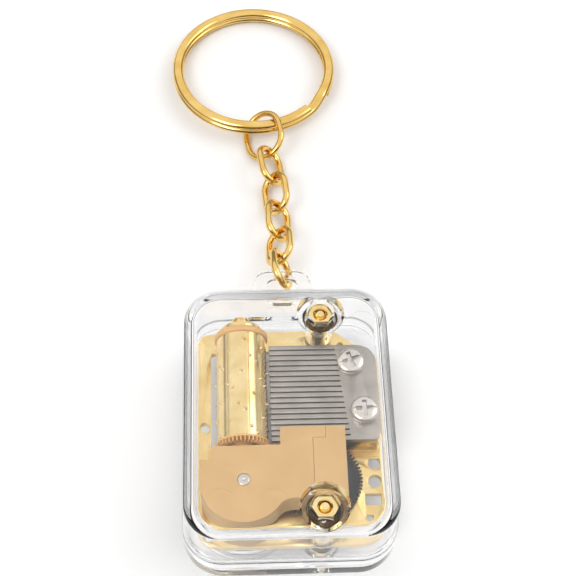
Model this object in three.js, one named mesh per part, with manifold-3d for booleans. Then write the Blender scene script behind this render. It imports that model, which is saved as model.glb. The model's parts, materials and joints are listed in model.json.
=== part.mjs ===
// A key-chain music box: a clear two-part case that holds a miniature pinned-cylinder movement,
// with a short chain and a split key ring on a lug behind the case.
// Millimetres. +X is to the right, +Y goes from the case towards the key ring, +Z up out of the
// case's face. The origin is the centre of the case's flat underside.
import * as THREE from "three";
import { mergeVertices } from "three/addons/utils/BufferGeometryUtils.js";
import Module from "manifold-3d";

const wasm = await Module();
wasm.setup();

const DEG = Math.PI / 180;
const TURN = 2 * Math.PI;

// Fineness of the curves
const CORNER_STEPS = 5;
const EDGE_STEPS = 2;
const ROUND_SIDES = 28;
const SMALL_SIDES = 14;
const DRUM_SIDES = 48;

// Running fits, and the small gaps between pieces that are pressed or screwed together
const RUNNING_GAP = 0.05;
const FITTED_GAP = 0.02;

// Clear case
const CASE_WIDTH = 34;
const CASE_LENGTH = 43.8;
const CASE_TOP = 18;
const CASE_CORNER = 6;
const CASE_FILLET = 1.5;
const FLANGE_WIDTH = 35.3;
const FLANGE_LENGTH = 45;
const FLANGE_CORNER = 6.7;
const FLANGE_FILLET = 0.6;
const SEAM_Z = 4;
const FLANGE_TOP = 7;
const CAVITY_WIDTH = 31.4;
const CAVITY_LENGTH = 41.2;
const CAVITY_CORNER = 4.7;
const CAVITY_TOP = 16.4;
const FLOOR_TOP = 1.8;

// Lug behind the cover, with the eye that the chain hangs in
const LUG_BOTTOM = 6;
const LUG_TOP = 8;
const LUG_ROOT_Y = 21.3;
const LUG_FAR_Y = 31.05;
const LUG_ROOT_WIDTH = 12.4;
const LUG_FAR_WIDTH = 9.4;
const LUG_CORNER = 2.6;
const EYE_Y = 27.4;
const EYE_WIDTH = 5.4;
const EYE_LENGTH = 4.9;
const EYE_CORNER = 1.7;

// Two case screws, each with a nut in a pocket at the top of the cover
const CASE_SCREWS = { front: [5.1, -16.8], rear: [5.9, 17.1] };
const SCREW_RADIUS = 0.98;
const SCREW_HOLE = 1.15;
const SCREW_HEAD_RADIUS = 1.9;
const SCREW_HEAD_BOTTOM = 0.3;
const SCREW_HEAD_TOP = 1.5;
const SCREW_END = 16.9;
const HEAD_RECESS_RADIUS = 2.1;
const HEAD_RECESS_TOP = 1.6;
const HEAD_CROSS_ARM = 1.1;
const HEAD_CROSS_WIDTH = 0.5;
const HEAD_CROSS_DEPTH = 0.7;
const PILLAR_RADIUS = 2.9;
const NUT_CORNER_RADIUS = 2.3;
const NUT_BOTTOM = 15.1;
const NUT_TOP = 16.7;
const POCKET_CORNER_RADIUS = 2.42;
const BOSS_FOOT_RADIUS = 2.25;
const BOSS_NECK_RADIUS = 2.5;
const BOSS_FLARE_RADIUS = 4.1;
const BOSS_FLARE_Z = 13.2;

// Bedplate
const PLATE_BOTTOM = 5.4;
const PLATE_TOP = 6.6;
const WINDOW = { left: -12.7, right: 7.6, front: -3.9, rear: 15 };
const RAIL_LEFT = 8.6;
const RAIL_RIGHT = 15.2;
const RAIL_FRONT = -3.7;
const RAIL_REAR = 13;
const RIB_LEFT = 9.9;
const RIBS = 4;
const RIB_PITCH = 0.36;
const RIB_THICKNESS = 0.2;
const RIB_TOP = 6.85;

// Comb
const COMB_BOTTOM = 11;
const COMB_TOP = 11.9;
const COMB_TIP_X = -2.8;
const COMB_RIGHT_X = 15.15;
const COMB_FRONT_Y = -3.9;
const COMB_REAR_Y = 13.4;
const COMB_CORNER = 4;
const COMB_TEETH = 18;
const COMB_SLOT = 0.26;
const COMB_ROOT_FRONT_X = 10.1;
const COMB_ROOT_REAR_X = 8.3;
const COMB_SCREWS = { upper: [10.8, 10], lower: [12.6, 1.1] };
const COMB_SCREW_RADIUS = 0.95;
const COMB_SCREW_HOLE = 1.2;
const COMB_SCREW_HEAD_RADIUS = 2.3;
const COMB_SCREW_HEAD_HEIGHT = 1.4;
const COMB_SCREW_END = 8;

// Pinned cylinder
const CYLINDER_X = -7.45;
const CYLINDER_Z = 11.4;
const DRUM_RADIUS = 4.2;
const DRUM_WALL = 0.4;
const DRUM_FRONT = -4.1;
const DRUM_REAR = 14.6;
const PIN_HEIGHT = 0.33;
const PIN_ROOT = 0.25;
const PIN_RADIUS = 0.2;
const PINS_PER_TOOTH = 3;
const SEAM_ANGLE = 16;
const CAP_RADIUS = 4.5;
const CAP_REAR = 15.7;
const SHAFT_RADIUS = 0.6;
const BRACKET_FRONT = 16;
const BRACKET_REAR = 16.8;
const BRACKET_RADIUS = 3.4;
const BRACKET_HALF_WIDTH = 2.6;
const BEARING_SLEEVE = 1;
const BEARING_RADIUS = 1.5;
const BEARING_RIBS = 4;
const BEARING_REAR = 18.8;

// Gear train: the great gear on the winding arbor drives the crown gear on the cylinder and the
// contrate wheel, whose face teeth drive the governor.
const MODULE = 0.194;
const GREAT_TEETH = 66;
const WHEEL_TEETH = 67;
const CROWN_TEETH = 40;
const ADDENDUM = 0.2;
const DEDENDUM = 0.42;
const GEAR_BOTTOM = 7.3;
const GEAR_TOP = 7.9;
const ARBOR = [CYLINDER_X, -11.35];
const WHEEL_BEARING = 10 * DEG;
const PIVOT_RADIUS = 0.6;
const PIVOT_HEAD_RADIUS = 0.9;
const PIVOT_HEAD_HEIGHT = 0.35;
const FACE_TEETH = 40;
const FACE_RADIUS = 4;
const FACE_ROOT_Z = 8;
const FACE_TIP_Z = 8.5;
const FACE_PITCH_Z = 8.3;
const PINION_TEETH = 12;

const greatRadius = (MODULE * GREAT_TEETH) / 2;
const wheelRadius = (MODULE * WHEEL_TEETH) / 2;
const pinionRadius = (FACE_RADIUS * PINION_TEETH) / FACE_TEETH;
const wheelReach = greatRadius + wheelRadius;
const WHEEL = [
  ARBOR[0] + wheelReach * Math.cos(WHEEL_BEARING),
  ARBOR[1] + wheelReach * Math.sin(WHEEL_BEARING),
];
const SPINDLE_Z = FACE_PITCH_Z + pinionRadius;

// Crown gear on the front end of the cylinder
const CROWN_TIP_Y = ARBOR[1] + greatRadius + ADDENDUM - 0.36;
const CROWN_ROOT_Y = CROWN_TIP_Y + 0.7;
const CROWN_OUTER = 4.4;
const CROWN_INNER = 3.3;

// Winding arbor, key and springs
const ARBOR_RADIUS = 1;
const ARBOR_TOP = 14.55;
const KEY_WELL_RADIUS = 7.3;
const KEY_WELL_WALL = 0.8;
const KEY_WELL_TOP = 4.2;
const KEY_WELL_LID = 5.2;
const KEY_SPAN = 13.2;
const KEY_BOTTOM = 0.3;
const KEY_BOW_TOP = 3.1;
const KEY_HUB_RADIUS = 2;
const KEY_HUB_TOP = 4;
const KEY_SOCKET_BOTTOM = 1.6;
const KEY_THICKNESS = 1.1;
const KEY_END = 1.4;
const MAINSPRING_INNER = 1.25;
const MAINSPRING_OUTER = 4.7;
const MAINSPRING_TURNS = 5;
const MAINSPRING_STRIP = 0.16;
const MAINSPRING_HEIGHT = 3.7;
const MAINSPRING_MIDDLE_Z = 11.05;
const CLUTCH_RADIUS = 1.52;
const CLUTCH_WIRE = 0.2;
const CLUTCH_BOTTOM = 8.1;
const CLUTCH_PITCH = 0.24;
const CLUTCH_TURNS = 3;

// Plastic gear cover and the governor cover let into it
const COVER_BOTTOM = 8.8;
const COVER_UNDER = 13.3;
const COVER_TOP = 14.5;
const COVER_LEFT = -1.45;
const COVER_RIGHT = 9.05;
const COVER_FRONT = -14.6;
const COVER_REAR = -2.5;
const HOUSING_REAR = -5.6;
const HOUSING_SWEEP = 35 * DEG;
const COVER_EDGE = 0.15;
const COVER_WALL = 0.6;
const COVER_FRONT_WALL = 1;
const BOSS_GAP = 0.25;
const COMB_CLEAR_Z = 12.1;
const COMB_CLEAR_Y = -4.2;
const HOUSING_OUTER = 7.05;
const HOUSING_INNER = 6.75;
const SEAM_GAP = 0.06;

// Governor
const SPINDLE_RADIUS = 0.3;
const SPINDLE_FRONT = -14.1;
const SPINDLE_REAR = -4.7;
const BRAKE_FRONT = -7.6;
const BRAKE_REAR = -5.9;
const BRAKE_OUTER = 1.75;
const BRAKE_INNER = 1.45;

// Chain, jump ring and key ring
const WIRE = 1.35;
const LINK_WIDTH = 6.6;
const LINK_LENGTH = 9.2;
const LINK_SLACK = 0.1;
const BAR_REACH = 2.05;
const LINK_POSES = [
  { pitch: -22, yaw: 1, roll: 60 },
  { pitch: -13.8, yaw: 0, roll: -45 },
  { pitch: -4, yaw: 1, roll: 45 },
  { pitch: 0, yaw: 5, roll: -45 },
  { pitch: 0, yaw: 9, roll: 45 },
];
const JUMP_WIRE = 1.25;
const JUMP_WIDTH = 9;
const JUMP_LENGTH = 10.8;
const JUMP_POSE = { pitch: 1.6, yaw: 11, roll: -36 };
const JUMP_GAP = 0.3;
const JUMP_GAP_ANGLE = -24;
const RING_RADIUS = 15.2;
const RING_BAND = 2.1;
const RING_LAYER = 1.2;
const RING_LAYER_GAP = 0.04;
const RING_CHAMFER = 0.35;
const RING_CROSSOVER_START = -46 * DEG;
const RING_CROSSOVER_END = -24 * DEG;
const RING_PITCH = 3.6 * DEG;
const RING_BEHIND_WIRE = 2.95;
const RING_LEFT_OF_WIRE = 0.7;

// ---------------------------------------------------------------- helpers

/** A three.js geometry as a solid for the booleans. */
function solid(geometry) {
  const bare = new THREE.BufferGeometry();
  bare.setAttribute("position", geometry.getAttribute("position"));
  bare.setIndex(geometry.getIndex());
  const merged = mergeVertices(bare, 1e-4);
  const mesh = new wasm.Mesh({
    numProp: 3,
    vertProperties: new Float32Array(merged.getAttribute("position").array),
    triVerts: new Uint32Array(merged.getIndex().array),
  });
  return new wasm.Manifold(mesh);
}

/** A solid as a flat-shaded three.js geometry. */
function geometryOf(body) {
  const { vertProperties, triVerts } = body.getMesh();
  const geometry = new THREE.BufferGeometry();
  geometry.setAttribute("position", new THREE.BufferAttribute(vertProperties, 3));
  geometry.setIndex(new THREE.BufferAttribute(triVerts, 1));
  const faceted = geometry.toNonIndexed();
  faceted.computeVertexNormals();
  return faceted;
}

function join(...bodies) {
  return bodies.reduce((whole, body) => whole.add(body));
}

function cut(body, ...tools) {
  return tools.reduce((rest, tool) => rest.subtract(tool), body);
}

/** A shape raised from one level to another, with its edges rounded over if edge is given. */
function slab(shape, bottom, top, edge = 0) {
  const geometry = new THREE.ExtrudeGeometry(shape, {
    depth: top - bottom - 2 * edge,
    curveSegments: CORNER_STEPS,
    bevelEnabled: edge > 0,
    bevelThickness: edge,
    bevelSize: edge,
    bevelOffset: -edge,
    bevelSegments: EDGE_STEPS,
  });
  return solid(geometry.translate(0, 0, bottom + edge));
}

/** A box between two corners. */
function block([x0, y0, z0], [x1, y1, z1]) {
  const geometry = new THREE.BoxGeometry(x1 - x0, y1 - y0, z1 - z0);
  return solid(geometry.translate((x0 + x1) / 2, (y0 + y1) / 2, (z0 + z1) / 2));
}

/** A profile of [radius, height] points turned about a vertical axis at [x, y]. */
function turned(profile, [x, y], sides = ROUND_SIDES) {
  const points = profile.map(([radius, height]) => new THREE.Vector2(radius, height));
  const geometry = new THREE.LatheGeometry(points, sides).rotateX(Math.PI / 2);
  return solid(geometry.translate(x, y, 0));
}

/** A profile of [radius, y] points turned about an axis along Y at [x, z]. */
function turnedAlongY(profile, [x, z], sides = ROUND_SIDES) {
  const points = profile.map(([radius, y]) => new THREE.Vector2(radius, y));
  const geometry = new THREE.LatheGeometry(points, sides);
  return solid(geometry.translate(x, 0, z));
}

function post(radius, bottom, top, centre, sides = ROUND_SIDES) {
  return turned([[0, bottom], [radius, bottom], [radius, top], [0, top]], centre, sides);
}

function rodAlongY(radius, front, rear, centre, sides = SMALL_SIDES) {
  return turnedAlongY([[0, front], [radius, front], [radius, rear], [0, rear]], centre, sides);
}

function hexagon(cornerRadius, [x, y]) {
  const shape = new THREE.Shape();
  for (let corner = 0; corner < 6; corner++) {
    const angle = (corner * TURN) / 6;
    const point = [x + cornerRadius * Math.cos(angle), y + cornerRadius * Math.sin(angle)];
    if (corner === 0) shape.moveTo(...point);
    else shape.lineTo(...point);
  }
  return shape;
}

function roundedRectangle(width, length, radius) {
  const shape = new THREE.Shape();
  const x = width / 2 - radius;
  const y = length / 2 - radius;
  shape.absarc(x, y, radius, 0, TURN / 4);
  shape.absarc(-x, y, radius, TURN / 4, TURN / 2);
  shape.absarc(-x, -y, radius, TURN / 2, (3 * TURN) / 4);
  shape.absarc(x, -y, radius, (3 * TURN) / 4, TURN);
  return shape;
}

/** A polygon whose corners are [x, y] or, rounded, [x, y, radius]. */
function roundedPolygon(corners) {
  const shape = new THREE.Shape();
  corners.forEach(([x, y, radius = 0], i) => {
    const corner = new THREE.Vector2(x, y);
    const towards = (j) => {
      const [nextX, nextY] = corners[(i + j + corners.length) % corners.length];
      const step = new THREE.Vector2(nextX, nextY).sub(corner);
      return step.setLength(radius).add(corner);
    };
    const enter = radius ? towards(-1) : corner;
    if (i === 0) shape.moveTo(enter.x, enter.y);
    else shape.lineTo(enter.x, enter.y);
    if (radius) {
      const leave = towards(1);
      shape.quadraticCurveTo(x, y, leave.x, leave.y);
    }
  });
  return shape;
}

function rectangle(left, front, right, rear) {
  return roundedPolygon([[left, front], [right, front], [right, rear], [left, rear]]);
}

/** Straight-sided gear teeth on a pitch circle, the first tooth centred on the given angle. */
function gearShape(teeth, radius, firstTooth) {
  const corners = [[-0.27, -DEDENDUM], [-0.1, ADDENDUM], [0.1, ADDENDUM], [0.27, -DEDENDUM]];
  const shape = new THREE.Shape();
  for (let tooth = 0; tooth < teeth; tooth++) {
    for (const [share, height] of corners) {
      const angle = firstTooth + ((tooth + share) * TURN) / teeth;
      const point = [(radius + height) * Math.cos(angle), (radius + height) * Math.sin(angle)];
      if (tooth === 0 && share === corners[0][0]) shape.moveTo(...point);
      else shape.lineTo(...point);
    }
  }
  return shape;
}

/** A strip bent round the Z axis along a path given as angle -> [radius, rise]. */
function bentStrip(section, startAngle, endAngle, steps, path) {
  const geometry = new THREE.ExtrudeGeometry(section, {
    depth: endAngle - startAngle,
    steps,
    bevelEnabled: false,
    curveSegments: 2,
  });
  const position = geometry.getAttribute("position");
  for (let i = 0; i < position.count; i++) {
    const angle = startAngle + position.getZ(i);
    const [radius, rise] = path(angle);
    const reach = radius + position.getX(i);
    position.setXYZ(i, reach * Math.cos(angle), reach * Math.sin(angle), rise - position.getY(i));
  }
  return solid(geometry);
}

/** A cross recess for a screw head, cut down from the given level. */
function crossRecess(arm, width, bottom, top, [x, y]) {
  return join(
    block([x - arm, y - width / 2, bottom], [x + arm, y + width / 2, top]),
    block([x - width / 2, y - arm, bottom], [x + width / 2, y + arm, top]),
  );
}

// ---------------------------------------------------------------- case

function caseCover() {
  const body = slab(
    roundedRectangle(CASE_WIDTH, CASE_LENGTH, CASE_CORNER), SEAM_Z, CASE_TOP, CASE_FILLET,
  );
  const flange = slab(
    roundedRectangle(FLANGE_WIDTH, FLANGE_LENGTH, FLANGE_CORNER), SEAM_Z, FLANGE_TOP, FLANGE_FILLET,
  );
  const cavity = slab(
    roundedRectangle(CAVITY_WIDTH, CAVITY_LENGTH, CAVITY_CORNER), SEAM_Z - 3, CAVITY_TOP, 1,
  );
  const shell = cut(join(body, flange, lug()), cavity, eye());
  const bosses = Object.values(CASE_SCREWS).map((centre) => nutBoss(centre));
  const pockets = Object.values(CASE_SCREWS).map(nutPocket);
  const wheelRelief = post(wheelRadius + ADDENDUM + 0.25, PLATE_BOTTOM, COVER_BOTTOM + 0.2, WHEEL);
  return cut(join(shell, ...bosses), ...pockets, wheelRelief);
}

function lug() {
  const root = LUG_ROOT_WIDTH / 2;
  const far = LUG_FAR_WIDTH / 2;
  const outline = roundedPolygon([
    [-root, LUG_ROOT_Y],
    [root, LUG_ROOT_Y],
    [far, LUG_FAR_Y, LUG_CORNER],
    [-far, LUG_FAR_Y, LUG_CORNER],
  ]);
  return slab(outline, LUG_BOTTOM, LUG_TOP);
}

function eye() {
  const outline = roundedRectangle(EYE_WIDTH, EYE_LENGTH, EYE_CORNER);
  return slab(outline, LUG_BOTTOM - 1, LUG_TOP + 1).translate([0, EYE_Y, 0]);
}

/** A boss under the cover's ceiling, flared at the top, that stands on the bedplate. */
function nutBoss(centre, grow = 0) {
  const profile = [
    [0, PLATE_TOP],
    [BOSS_FOOT_RADIUS + grow, PLATE_TOP],
    [BOSS_NECK_RADIUS + grow, BOSS_FLARE_Z],
    [BOSS_FLARE_RADIUS - 0.5 + grow, CAVITY_TOP - 1],
    [BOSS_FLARE_RADIUS + grow, CAVITY_TOP + 0.1],
    [0, CAVITY_TOP + 0.1],
  ];
  return turned(profile, centre);
}

function nutPocket(centre) {
  return join(
    slab(hexagon(POCKET_CORNER_RADIUS, centre), NUT_BOTTOM, CASE_TOP + 1),
    post(SCREW_HOLE, PLATE_TOP - 1, NUT_BOTTOM + 1, centre, SMALL_SIDES),
  );
}

function caseBase() {
  const outer = slab(
    roundedRectangle(FLANGE_WIDTH, FLANGE_LENGTH, FLANGE_CORNER), 0, SEAM_Z, FLANGE_FILLET,
  );
  const cavity = slab(
    roundedRectangle(CAVITY_WIDTH, CAVITY_LENGTH, CAVITY_CORNER), FLOOR_TOP, SEAM_Z + 2,
  );
  const screwCentres = Object.values(CASE_SCREWS);
  const pillars = screwCentres.map((centre) => post(PILLAR_RADIUS, 0.6, PLATE_BOTTOM, centre));
  const keyWell = post(KEY_WELL_RADIUS + KEY_WELL_WALL, 0.6, KEY_WELL_LID, ARBOR);
  const headRecesses = screwCentres.map((centre) =>
    join(
      post(HEAD_RECESS_RADIUS, -1, HEAD_RECESS_TOP, centre),
      post(SCREW_HOLE, 0, PLATE_BOTTOM + 1, centre, SMALL_SIDES),
    ),
  );
  const wellInside = join(
    post(KEY_WELL_RADIUS, -1, KEY_WELL_TOP, ARBOR),
    post(ARBOR_RADIUS + 0.35, 0, KEY_WELL_LID + 1, ARBOR),
  );
  return cut(join(cut(outer, cavity), ...pillars, keyWell), ...headRecesses, wellInside);
}

function caseScrew(centre) {
  const profile = [
    [0, SCREW_HEAD_BOTTOM],
    [SCREW_HEAD_RADIUS - 0.3, SCREW_HEAD_BOTTOM],
    [SCREW_HEAD_RADIUS, SCREW_HEAD_BOTTOM + 0.4],
    [SCREW_HEAD_RADIUS, SCREW_HEAD_TOP],
    [SCREW_RADIUS, SCREW_HEAD_TOP],
    [SCREW_RADIUS, SCREW_END - 0.3],
    [SCREW_RADIUS - 0.3, SCREW_END],
    [0, SCREW_END],
  ];
  const recess = crossRecess(
    HEAD_CROSS_ARM, HEAD_CROSS_WIDTH, 0, SCREW_HEAD_BOTTOM + HEAD_CROSS_DEPTH, centre,
  );
  return cut(turned(profile, centre), recess);
}

function caseNut(centre) {
  const body = slab(hexagon(NUT_CORNER_RADIUS, centre), NUT_BOTTOM + FITTED_GAP, NUT_TOP, 0.15);
  const bore = post(SCREW_RADIUS + RUNNING_GAP, NUT_BOTTOM - 1, NUT_TOP + 1, centre);
  return cut(body, bore);
}

// ---------------------------------------------------------------- bedplate and comb

function bedplate() {
  const outline = roundedPolygon([
    [-15.1, -18.7, 4.5],
    [15.5, -18.7, 4.5],
    [15.5, 13.4, 1],
    [11.7, 16.3, 1],
    [8.7, 18.8, 1],
    [-15.1, 18.8, 2.8],
  ]);
  const { left, right, front, rear } = WINDOW;
  const window = slab(rectangle(left, front, right, rear), 0, CASE_TOP);
  const roundHoles = [
    [14.05, -5.9, 1.1],
    [14, -9.1, 1.15],
    [-13.8, 1.1, 0.9],
    [9.6, 16, 0.6],
    [-13.2, -17, 0.6],
    [12.9, -15.4, 0.7],
  ].map(([x, y, radius]) => post(radius, 0, PLATE_TOP + 1, [x, y], SMALL_SIDES));
  const squareHole = block([12.2, -13.2, 0], [14.9, -11.2, PLATE_TOP + 1]);
  const screwHoles = Object.values(CASE_SCREWS).map((centre) =>
    post(SCREW_HOLE, 0, PLATE_TOP + 1, centre, SMALL_SIDES),
  );
  const bearings = [
    post(ARBOR_RADIUS + RUNNING_GAP, 0, PLATE_TOP + 1, ARBOR),
    post(PIVOT_RADIUS + FITTED_GAP, 0, PLATE_TOP + 1, WHEEL, SMALL_SIDES),
  ];
  const plate = cut(slab(outline, PLATE_BOTTOM, PLATE_TOP), window, squareHole, ...roundHoles);
  const casting = join(plate, combRail(), bearingBracket());
  return cut(casting, ...screwHoles, ...bearings, ...combScrewHoles());
}

/** The raised bar of the casting that carries the comb, and the ribbed band in front of it. */
function combRail() {
  const outline = roundedPolygon([
    [RAIL_LEFT + 0.6, RAIL_FRONT],
    [RAIL_RIGHT, RAIL_FRONT, 1],
    [RAIL_RIGHT, RAIL_REAR, COMB_CORNER],
    [RAIL_LEFT, RAIL_REAR],
  ]);
  const rail = slab(outline, PLATE_TOP - 0.2, COMB_BOTTOM);
  const ribs = Array.from({ length: RIBS }, (_, i) => {
    const y = RAIL_FRONT - (i + 1) * RIB_PITCH;
    return block([RIB_LEFT, y, PLATE_TOP - 0.2], [RAIL_RIGHT, y + RIB_THICKNESS, RIB_TOP]);
  });
  return join(rail, ...ribs);
}

function combScrewHoles() {
  const radius = COMB_SCREW_RADIUS + FITTED_GAP;
  return Object.values(COMB_SCREWS).map((centre) =>
    post(radius, COMB_SCREW_END - 0.3, COMB_BOTTOM + 1, centre, SMALL_SIDES),
  );
}

/** The round-topped upright that carries the cylinder's rear bearing. */
function bearingBracket() {
  const disc = rodAlongY(
    BRACKET_RADIUS, BRACKET_FRONT, BRACKET_REAR, [CYLINDER_X, CYLINDER_Z], ROUND_SIDES,
  );
  const foot = block(
    [CYLINDER_X - BRACKET_HALF_WIDTH, BRACKET_FRONT, PLATE_TOP - 0.2],
    [CYLINDER_X + BRACKET_HALF_WIDTH, BRACKET_REAR, CYLINDER_Z],
  );
  const bore = rodAlongY(BEARING_SLEEVE + FITTED_GAP, 0, 20, [CYLINDER_X, CYLINDER_Z]);
  return cut(join(disc, foot), bore);
}

function comb() {
  const outline = roundedPolygon([
    [COMB_TIP_X, COMB_FRONT_Y],
    [COMB_RIGHT_X, COMB_FRONT_Y, 1.6],
    [COMB_RIGHT_X, COMB_REAR_Y, COMB_CORNER],
    [COMB_TIP_X, COMB_REAR_Y],
  ]);
  const pitch = (COMB_REAR_Y - COMB_FRONT_Y + COMB_SLOT) / COMB_TEETH;
  const slots = Array.from({ length: COMB_TEETH - 1 }, (_, i) => {
    const y = COMB_FRONT_Y + (i + 1) * pitch - COMB_SLOT;
    const share = i / (COMB_TEETH - 2);
    const root = THREE.MathUtils.lerp(COMB_ROOT_FRONT_X, COMB_ROOT_REAR_X, share);
    return block([COMB_TIP_X - 1, y, COMB_BOTTOM - 1], [root, y + COMB_SLOT, COMB_TOP + 1]);
  });
  const holes = Object.values(COMB_SCREWS).map((centre) =>
    post(COMB_SCREW_HOLE, COMB_BOTTOM - 1, COMB_TOP + 1, centre, SMALL_SIDES),
  );
  const plate = slab(outline, COMB_BOTTOM, COMB_TOP);
  return cut(plate, ...slots, ...holes);
}

function combScrew(centre) {
  const top = COMB_TOP + COMB_SCREW_HEAD_HEIGHT;
  const profile = [
    [0, COMB_SCREW_END],
    [COMB_SCREW_RADIUS, COMB_SCREW_END],
    [COMB_SCREW_RADIUS, COMB_TOP],
    [COMB_SCREW_HEAD_RADIUS, COMB_TOP],
    [COMB_SCREW_HEAD_RADIUS, top - 0.5],
    [COMB_SCREW_HEAD_RADIUS - 0.3, top - 0.15],
    [COMB_SCREW_HEAD_RADIUS - 0.9, top],
    [0, top],
  ];
  const recess = crossRecess(1.35, 0.6, top - 0.7, top + 1, centre);
  const slot = crossRecess(1.9, 0.3, top - 0.35, top + 1, centre);
  return cut(turned(profile, centre), recess, slot);
}

// ---------------------------------------------------------------- cylinder

/** A tube rolled from sheet, closed at its ends by the cap and the crown gear. */
function cylinderDrum() {
  const inside = DRUM_RADIUS - DRUM_WALL;
  const profile = [
    [inside, DRUM_FRONT],
    [DRUM_RADIUS, DRUM_FRONT],
    [DRUM_RADIUS, DRUM_REAR],
    [inside, DRUM_REAR],
    [inside, DRUM_FRONT],
  ];
  const shell = turnedAlongY(profile, [CYLINDER_X, CYLINDER_Z], DRUM_SIDES);
  const seam = block(
    [CYLINDER_X - 0.06, DRUM_FRONT - 1, CYLINDER_Z + DRUM_RADIUS - 0.15],
    [CYLINDER_X + 0.06, DRUM_REAR + 1, CYLINDER_Z + DRUM_RADIUS + 1],
  );
  return cut(join(shell, ...drumPins()), aboutCylinder(seam, SEAM_ANGLE));
}

/** A solid turned about the cylinder's axis, from the top towards +X. */
function aboutCylinder(body, degrees) {
  return body
    .translate([-CYLINDER_X, 0, -CYLINDER_Z])
    .rotate([0, degrees, 0])
    .translate([CYLINDER_X, 0, CYLINDER_Z]);
}

/** Pins in rows, one row under each tooth of the comb, scattered round the drum. */
function drumPins() {
  const pitch = (COMB_REAR_Y - COMB_FRONT_Y + COMB_SLOT) / COMB_TEETH;
  const length = PIN_HEIGHT + PIN_ROOT;
  const pins = [];
  for (let tooth = 0; tooth < COMB_TEETH; tooth++) {
    const y = COMB_FRONT_Y + (tooth + 0.36) * pitch;
    for (let k = 0; k < PINS_PER_TOOTH; k++) {
      const angle = 35 + tooth * 83 + k * 131;
      const geometry = new THREE.CylinderGeometry(PIN_RADIUS * 0.7, PIN_RADIUS, length, 5);
      geometry.rotateX(Math.PI / 2).translate(0, y, DRUM_RADIUS + PIN_HEIGHT - length / 2);
      geometry.rotateY(angle * DEG).translate(CYLINDER_X, 0, CYLINDER_Z);
      pins.push(solid(geometry));
    }
  }
  return pins;
}

function cylinderCap() {
  const bore = SHAFT_RADIUS + FITTED_GAP;
  const profile = [
    [bore, DRUM_REAR],
    [CAP_RADIUS, DRUM_REAR],
    [CAP_RADIUS, CAP_REAR - 0.3],
    [CAP_RADIUS - 0.3, CAP_REAR],
    [bore, CAP_REAR],
    [bore, DRUM_REAR],
  ];
  return turnedAlongY(profile, [CYLINDER_X, CYLINDER_Z], 40);
}

/** The plastic gear on the drum's front end, with teeth that face forwards. */
function cylinderGear() {
  const axis = [CYLINDER_X, CYLINDER_Z];
  const bore = SHAFT_RADIUS + FITTED_GAP;
  const profile = [
    [bore, CROWN_ROOT_Y],
    [CROWN_OUTER, CROWN_ROOT_Y],
    [CROWN_OUTER, DRUM_FRONT],
    [bore, DRUM_FRONT],
    [bore, CROWN_ROOT_Y],
  ];
  const hub = turnedAlongY([
    [bore, CROWN_TIP_Y],
    [1.6, CROWN_TIP_Y],
    [1.6, CROWN_ROOT_Y + 0.1],
    [bore, CROWN_ROOT_Y + 0.1],
    [bore, CROWN_TIP_Y],
  ], axis);
  const halfWidth = 0.09;
  const rib = block(
    [-halfWidth, CROWN_TIP_Y, CROWN_INNER],
    [halfWidth, CROWN_ROOT_Y + 0.1, CROWN_OUTER],
  ).translate([CYLINDER_X, 0, CYLINDER_Z]);
  const step = 360 / CROWN_TEETH;
  const ribs = Array.from({ length: CROWN_TEETH }, (_, i) => aboutCylinder(rib, (i + 0.5) * step));
  return join(turnedAlongY(profile, axis, CROWN_TEETH), hub, ...ribs);
}

function cylinderShaft() {
  return rodAlongY(SHAFT_RADIUS, -6.25, 18.2, [CYLINDER_X, CYLINDER_Z]);
}

/** A ribbed bush pushed into the rear bracket. */
function cylinderBearing() {
  const bore = SHAFT_RADIUS + RUNNING_GAP;
  const ribPitch = (BEARING_REAR - BRACKET_REAR) / BEARING_RIBS;
  const sleeve = BEARING_SLEEVE;
  const profile = [[bore, BRACKET_FRONT], [sleeve, BRACKET_FRONT], [sleeve, BRACKET_REAR]];
  for (let rib = 0; rib < BEARING_RIBS; rib++) {
    const y = BRACKET_REAR + rib * ribPitch;
    profile.push([BEARING_RADIUS, y], [BEARING_RADIUS, y + ribPitch * 0.6]);
    profile.push([BEARING_RADIUS - 0.2, y + ribPitch * 0.7], [BEARING_RADIUS - 0.2, y + ribPitch]);
  }
  profile.push([bore, BEARING_REAR], [bore, BRACKET_FRONT]);
  return turnedAlongY(profile, [CYLINDER_X, CYLINDER_Z], 18);
}

// ---------------------------------------------------------------- gear train

/** The great gear has a tooth that points straight at the cylinder. */
function greatGear() {
  const teeth = slab(gearShape(GREAT_TEETH, greatRadius, TURN / 4), GEAR_BOTTOM, GEAR_TOP)
    .translate([...ARBOR, 0]);
  const hub = post(1.35, GEAR_BOTTOM - 0.4, 8.9, ARBOR);
  const bore = post(ARBOR_RADIUS + RUNNING_GAP, GEAR_BOTTOM - 1, 10, ARBOR);
  return cut(join(teeth, hub), bore);
}

/** The angle of the contrate wheel's first tooth that puts it in mesh with the great gear. */
function wheelPhase() {
  const pitch = TURN / GREAT_TEETH;
  const fromTooth = WHEEL_BEARING - TURN / 4;
  const nearest = Math.round(fromTooth / pitch) * pitch - fromTooth;
  const gap = WHEEL_BEARING + TURN / 2 - (nearest * greatRadius) / wheelRadius;
  return gap + TURN / (2 * WHEEL_TEETH);
}

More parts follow.
